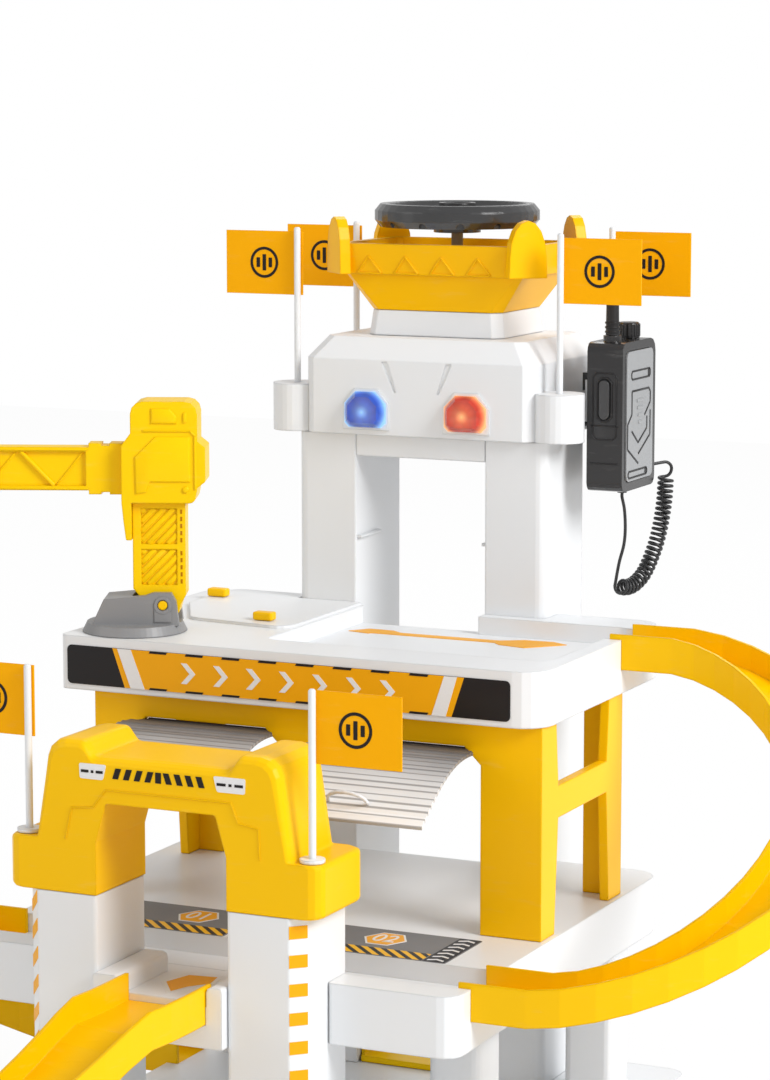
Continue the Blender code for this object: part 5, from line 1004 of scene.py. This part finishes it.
tray = {
    "front": (0, 0.1643, 0.556), "frontUp": (0, -0.003, 0.021),
    "rear": (0, 0.2533, 0.556), "rearUp": (0, 0.003, 0.021),
    "apexes": (-0.0448, -0.0177, 0.0086, 0.0351), "half": 0.0088, "low": 0.0012, "high": 0.0128,
    "rib": 0.0013, "proud": 0.0008, "bevel": 0.0003,
}

lampRims = {"side": 0.0022, "low": 0.0020, "shoulder": 0.64, "cut": 0.0060, "top": 0.0018, "proud": 0.0012}


def makeFlagMarks():
    marks = bmesh.new()
    half, proud = flags["barWidth"] / 2, flags["proud"]
    for node in sorted(name for name in cadNodes if "flag" in name):
        low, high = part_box(node)
        x, z = (low.x + high.x) / 2, (low.z + high.z) / 2
        for y, way in ((low.y, 1), (high.y, -1)):
            place = facing((x, y, z), (way, 0, 0), (0, 0, 1))
            addRing(marks, flags["ringOuter"], flags["ringInner"], proud, place, flags["ringSides"],
                    ink["low"])
            for shift, tall in flags["bars"]:
                addPlate(marks, oblong(shift - half, shift + half, -tall / 2, tall / 2), proud, place,
                         rounding=flags["barCorner"], low=ink["low"])
    finishPiece("flag_marks", marks, blackInk, "garage")


def makeTrayMarks():
    triangles = bmesh.new()
    for way, face in ((1, "front"), (-1, "rear")):
        place = facing(tray[face], (way, 0, 0), tray[face + "Up"])
        for apex in tray["apexes"]:
            x = apex * way
            corners = [(x - tray["half"], tray["low"]), (x, tray["high"]), (x + tray["half"], tray["low"])]
            for index in range(3):
                addBar(triangles, corners[index], corners[(index + 1) % 3], tray["rib"], tray["proud"], place,
                       tray["bevel"])
    finishPiece("tray_triangles", triangles, orangePlastic, "garage")


def makeLampRims():
    rims = bmesh.new()
    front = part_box("tower_head")[0].y
    for node in ("lens_blue", "lens_red"):
        low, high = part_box(node)
        half, tall = (high.x - low.x) / 2, high.z - low.z
        side, cut, foot = half + lampRims["side"], half - lampRims["cut"], -lampRims["low"]
        top, shoulder = tall + lampRims["top"], tall * lampRims["shoulder"]
        place = facing(((low.x + high.x) / 2, front, low.z), (1, 0, 0), (0, 0, 1))
        outline = [(-side, foot), (side, foot), (side, shoulder), (cut, top), (-cut, top), (-side, shoulder)]
        addPlate(rims, outline, lampRims["proud"], place)
    finishPiece("lamp_rims", rims, whitePlastic, "garage")


print("scene: flags, tray and lamps")
makeFlagMarks()
makeTrayMarks()
makeLampRims()


# Crane details, drawn on the plane of the boom, with x along the boom to its end and z upwards
# A clip is left, right, low, high, cut, proud and bevel; a zigzag bar is its two ends, width and proud

crane = {
    "place": (-0.1330, -0.0050, 0.3333), "turn": 203.0,
    "headSide": 0.0150, "mastSide": 0.0100, "boomSide": 0.0070, "bossSide": 0.0153,
    "panel": ((-0.0381, 0.0984), (-0.0122, 0.0984), (-0.0097, 0.0916), (-0.0030, 0.0905), (-0.0025, 0.1145),
              (-0.0157, 0.1276), (-0.0381, 0.1276)),
    "badge": ((-0.0295, 0.1359), (-0.0132, 0.1359), (-0.0132, 0.1456), (-0.0249, 0.1456), (-0.0295, 0.1406)),
    "plateProud": 0.0011, "plateBevel": 0.0006,
    "clips": ((-0.0360, -0.0336, 0.1363, 0.1432, 0.0008, 0.0009, 0.0003),
              (-0.0372, -0.0330, 0.0913, 0.0955, 0.0013, 0.0010, 0.0004)),
    "ridge": ((-0.0076, 0.1312), (-0.0381, 0.1312), (-0.0412, 0.1280), (-0.0412, 0.0935)),
    "ridgeWidth": 0.0013, "ridgeProud": 0.0008, "bevel": 0.0003, "fineBevel": 0.0002,
    "ribLeft": -0.0287, "ribRight": -0.0057, "ribPanels": ((0.0310, 0.05395), (0.05755, 0.0805)),
    "ribPitch": 0.0062, "ribWidth": 0.0034, "ribDepth": 0.0015, "ribProud": 0.0010, "leastRib": 0.003,
    "slots": 10, "slotX": -0.0316, "slotLow": 0.0320, "slotPitch": 0.0046, "slotBreak": 0.0038,
    "slotLength": 0.0027, "slotWidth": 0.0012, "slotProud": 0.0002,
    "boomRoot": 0.0281, "boomTip": 0.1416, "boomMiddle": 0.10565, "boomBend": 0.55, "boomEnd": 0.0006,
    "zigzagDepth": 0.0025, "railRise": 0.0126, "railWidth": 0.0018, "railProud": 0.0006,
    "zigzag": ((0.0318, 0.011, 0.0492, -0.011, 0.0011, 0.0010),
               (0.0507, -0.011, 0.0719, 0.011, 0.0022, 0.0024),
               (0.0750, 0.011, 0.0878, -0.004, 0.0011, 0.0010)),
    "bossPlace": (-0.0197, 0.0185), "bossOuter": 0.0057, "bossInner": 0.0036, "bossLow": -0.0003,
    "bossTop": 0.0009, "bossSides": 32, "tabTop": 0.0008,
    "tabs": ((-0.0056, 0.0056, -0.0112, -0.0038), (-0.0056, -0.0037, -0.0040, 0.0),
             (0.0037, 0.0056, -0.0040, 0.0)),
}


def craneSide(side, depth):
    axis = Matrix.Translation(crane["place"]) @ Matrix.Rotation(math.radians(crane["turn"]), 4, "Z")
    return axis @ facing((0, side * depth, 0), (-side, 0, 0), (0, 0, 1))


def mirrored(points, side):
    return [(-side * x, z) for x, z in points]


def sideways(points, side):
    return points if side < 0 else mirrored(reversed(points), side)


def addHouseMarks(house, side):
    place = craneSide(side, crane["headSide"])
    for outline in ("panel", "badge"):
        addPlate(house, sideways(crane[outline], side), crane["plateProud"], place,
                 bevel=crane["plateBevel"], low=-sunk)
    for *edges, cut, proud, bevel in crane["clips"]:
        addPlate(house, sideways(cutOblong(*edges, cut), side), proud, place, bevel=bevel, low=-sunk)
    ridge = mirrored(crane["ridge"], side)
    for first, second in zip(ridge, ridge[1:]):
        addBar(house, first, second, crane["ridgeWidth"], crane["ridgeProud"], place, crane["bevel"])


def addMastMarks(ribs, slots, side):
    place = craneSide(side, crane["mastSide"] - crane["ribDepth"])
    left, right = crane["ribLeft"], crane["ribRight"]
    for low, high in crane["ribPanels"]:
        wide, tall = right - left, high - low
        for index in range(1, int((wide + tall) / crane["ribPitch"]) + 1):
            reach = index * crane["ribPitch"]
            first = (left + max(0.0, reach - tall), low + min(reach, tall))
            second = (left + min(reach, wide), low + max(0.0, reach - wide))
            if (Vector(first) - Vector(second)).length > crane["leastRib"]:
                ends = mirrored((first, second), side)
                addBar(ribs, *ends, crane["ribWidth"], crane["ribProud"], place, crane["fineBevel"])
    place = craneSide(side, crane["mastSide"])
    for index in range(crane["slots"]):
        gap = crane["slotBreak"] if index >= crane["slots"] / 2 else 0.0
        low = crane["slotLow"] + index * crane["slotPitch"] + gap
        ends = mirrored(((crane["slotX"], low), (crane["slotX"], low + crane["slotLength"])), side)
        addBar(slots, *ends, crane["slotWidth"], crane["slotProud"], place)


def addBoomMarks(ribs, side):
    root, tip, middle = crane["boomRoot"], crane["boomTip"], crane["boomMiddle"]
    bend = root + (tip - root) * crane["boomBend"]
    place = craneSide(side, crane["boomSide"] - crane["zigzagDepth"])
    for x, rise, farX, farRise, width, proud in crane["zigzag"]:
        ends = mirrored(((x, middle + rise), (farX, middle + farRise)), side)
        addBar(ribs, *ends, width, proud, place, crane["bevel"])
    place = craneSide(side, crane["boomSide"])
    for z, end in ((middle + crane["railRise"], tip - crane["boomEnd"]), (middle - crane["railRise"], bend)):
        ends = mirrored(((root + crane["boomEnd"], z), (end, z)), side)
        addBar(ribs, *ends, crane["railWidth"], crane["railProud"], place, crane["fineBevel"])


def addBosses(bosses, side):
    x, z = crane["bossPlace"]
    place = craneSide(side, crane["bossSide"]) @ Matrix.Translation((-side * x, z, 0.0))
    addRing(bosses, crane["bossOuter"], crane["bossInner"], crane["bossTop"], place, crane["bossSides"],
            crane["bossLow"])
    for tab in crane["tabs"]:
        addPlate(bosses, oblong(*tab), crane["tabTop"], place, low=-sunk)


def makeCraneMarks():
    house, mastRibs, boomRibs, bosses, slots = (bmesh.new() for count in range(5))
    for side in (-1, 1):
        addHouseMarks(house, side)
        addMastMarks(mastRibs, slots, side)
        addBoomMarks(boomRibs, side)
        addBosses(bosses, side)
    finishPiece("crane_house_marks", house, lightPlastic, "crane_mast")
    finishPiece("crane_mast_ribs", mastRibs, lightPlastic, "crane_mast")
    finishPiece("crane_mast_slots", slots, slotShade, "crane_mast")
    finishPiece("crane_boom_ribs", boomRibs, lightPlastic, "crane_mast")
    finishPiece("crane_bosses", bosses, greyPlastic, "crane")


print("scene: crane")
makeCraneMarks()


# Handwheel hub

wheel = {
    "centre": (0.0, 0.2088, 0.0), "top": 0.6036, "low": 0.5990, "outer": 0.0125, "inner": 0.0095, "sides": 40,
}


def makeWheelMarks():
    ring = bmesh.new()
    centre = Matrix.Translation(wheel["centre"])
    addRing(ring, wheel["outer"], wheel["inner"], wheel["top"], centre, wheel["sides"], wheel["low"])
    finishPiece("wheel_hub_ring", ring, glossBlack, "handwheel")


# Hand radio details
# Grooves, slots and bars are drawn on the silver face, from its middle; a slot is left, right, low and high

radio = {
    "left": 0.1090, "right": 0.1340, "front": 0.1750, "rear": 0.2360, "low": 0.4160, "high": 0.5150,
    "talk": 0.4774, "talkMargin": 0.0020, "talkCut": 0.0035, "talkRim": 0.0012, "talkProud": 0.0009,
    "panel": (-0.0088, 0.0088, -0.0270, 0.0180, 0.0028), "panelRim": 0.0010, "rimBevel": 0.0002,
    "seams": (0.4350, 0.4600), "seamHalf": 0.0098, "seamWidth": 0.0011, "seamProud": 0.0005,
    "line": 0.0014, "lineProud": 0.0003, "lineBevel": 0.0001,
    "grooves": (((-0.0150, 0.0010), (-0.0150, 0.0165), (0.0160, 0.0165), (0.0190, 0.0140), (0.0190, 0.0070),
                 (0.0085, -0.0010)),
                ((-0.0150, 0.0010), (-0.0225, -0.0050), (-0.0225, -0.0215), (-0.0025, -0.0325)),
                ((0.0190, 0.0015), (0.0190, -0.0150), (-0.0025, -0.0260)),
                ((-0.0150, -0.0100), (-0.0030, -0.0185), (0.0130, -0.0100), (0.0130, -0.0020))),
    "slots": ((-0.0166, 0.0189, 0.0237, 0.0303), (-0.0216, 0.0143, -0.0415, -0.0360)),
    "slotCut": 0.0018, "slotRim": 0.0012, "plugStart": 0.0045, "plugEdge": 0.0008,
    "bars": 4, "barHalf": 0.0060, "barTaper": 0.0010, "barLow": 0.0085, "barPitch": 0.0048,
    "barHeight": 0.0022, "barProud": 0.0006, "barBevel": 0.0001,
    "knobRibs": 20, "knobLow": (0.0062, -0.0006, -0.0095), "knobHigh": (0.0074, 0.0006, -0.0012),
    "knobBevel": 0.0002,
    "antennaRings": (0.0015, 0.0045, 0.0075), "antennaTall": 0.0012, "antennaOuter": 0.0050,
    "antennaInner": 0.0040, "antennaSides": 32,
    "hook": (0.0075, 0.0060), "hookSteps": 12, "hookHalf": 0.0035, "hookLevel": 0.4675, "hookDepth": 0.0005,
}


def overMiddle(node):
    low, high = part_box(node)
    return Matrix.Translation(((low.x + high.x) / 2, (low.y + high.y) / 2, 0)), low.z, high.z


def addButtonMarks(marks, middle):
    place = facing((middle, radio["front"], radio["talk"]), (1, 0, 0), (0, 0, 1))
    low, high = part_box("talk_button")
    half, tall = (high.x - low.x) / 2 + radio["talkMargin"], (high.z - low.z) / 2 + radio["talkMargin"]
    bevel = radio["rimBevel"]
    rim = cutOblong(-half, half, -tall, tall, radio["talkCut"])
    addFrame(marks, rim, radio["talkRim"], radio["talkProud"], place, bevel)
    addFrame(marks, cutOblong(*radio["panel"]), radio["panelRim"], radio["seamProud"], place, bevel)
    half = radio["seamHalf"]
    for z in radio["seams"]:
        for y, way in ((radio["front"], 1), (radio["rear"], -1)):
            place = facing((middle, y, z), (way, 0, 0), (0, 0, 1))
            addBar(marks, (-half, 0.0), (half, 0.0), radio["seamWidth"], radio["seamProud"], place, bevel)


def addFaceMarks(marks, silver):
    y, z = (radio["front"] + radio["rear"]) / 2, (radio["low"] + radio["high"]) / 2
    place = facing((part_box("radio_face")[1].x, y, z), (0, 1, 0), (0, 0, 1))
    for line in radio["grooves"]:
        for first, second in zip(line, line[1:]):
            addBar(marks, first, second, radio["line"], radio["lineProud"], place, radio["lineBevel"])
    edge = radio["plugEdge"]
    for left, right, low, high in radio["slots"]:
        rim = cutOblong(left, right, low, high, radio["slotCut"])
        addFrame(marks, rim, radio["slotRim"], radio["lineProud"], place)
        addInk(marks, oblong(right - radio["plugStart"], right - edge, low + edge, high - edge), place)
    for index in range(radio["bars"]):
        low = radio["barLow"] - index * radio["barPitch"]
        half = radio["barHalf"] - index * radio["barTaper"]
        addPlate(silver, oblong(-half, half, low, low + radio["barHeight"]), radio["barProud"], place,
                 bevel=radio["barBevel"], low=ink["low"])


def makeRadioMarks():
    marks, silver, knurl = bmesh.new(), bmesh.new(), bmesh.new()
    middle = (radio["left"] + radio["right"]) / 2
    addButtonMarks(marks, middle)
    addFaceMarks(marks, silver)
    centre, foot, top = overMiddle("radio_knob")
    for index in range(radio["knobRibs"]):
        turn = centre @ Matrix.Rotation(math.tau * index / radio["knobRibs"], 4, "Z")
        turn = turn @ Matrix.Translation((0, 0, top))
        addBox(knurl, radio["knobLow"], radio["knobHigh"], turn, radio["knobBevel"], 1)
    centre, foot, top = overMiddle("radio_antenna")
    for level in radio["antennaRings"]:
        low = foot + level
        addRing(marks, radio["antennaOuter"], radio["antennaInner"], low + radio["antennaTall"], centre,
                radio["antennaSides"], low)
    out, up = radio["hook"]
    turns = [math.pi * step / radio["hookSteps"] for step in range(radio["hookSteps"] + 1)]
    place = facing((middle, radio["rear"] - radio["hookDepth"], radio["hookLevel"]), (0, 1, 0), (0, 0, 1))
    hook = [(out * math.sin(turn), up * math.cos(turn)) for turn in turns]
    addPlate(silver, hook, radio["hookHalf"], place, low=-radio["hookHalf"])
    finishPiece("radio_marks", marks, satinBlack, "radio")
    finishPiece("radio_silver_bars", silver, silverPanel, "radio")
    finishPiece("radio_knob_ribs", knurl, blackPlastic, "radio_knob")


print("scene: handwheel and radio")
makeWheelMarks()
makeRadioMarks()


radioCord.data.materials.append(cordBlack)
bpy.context.view_layer.update()
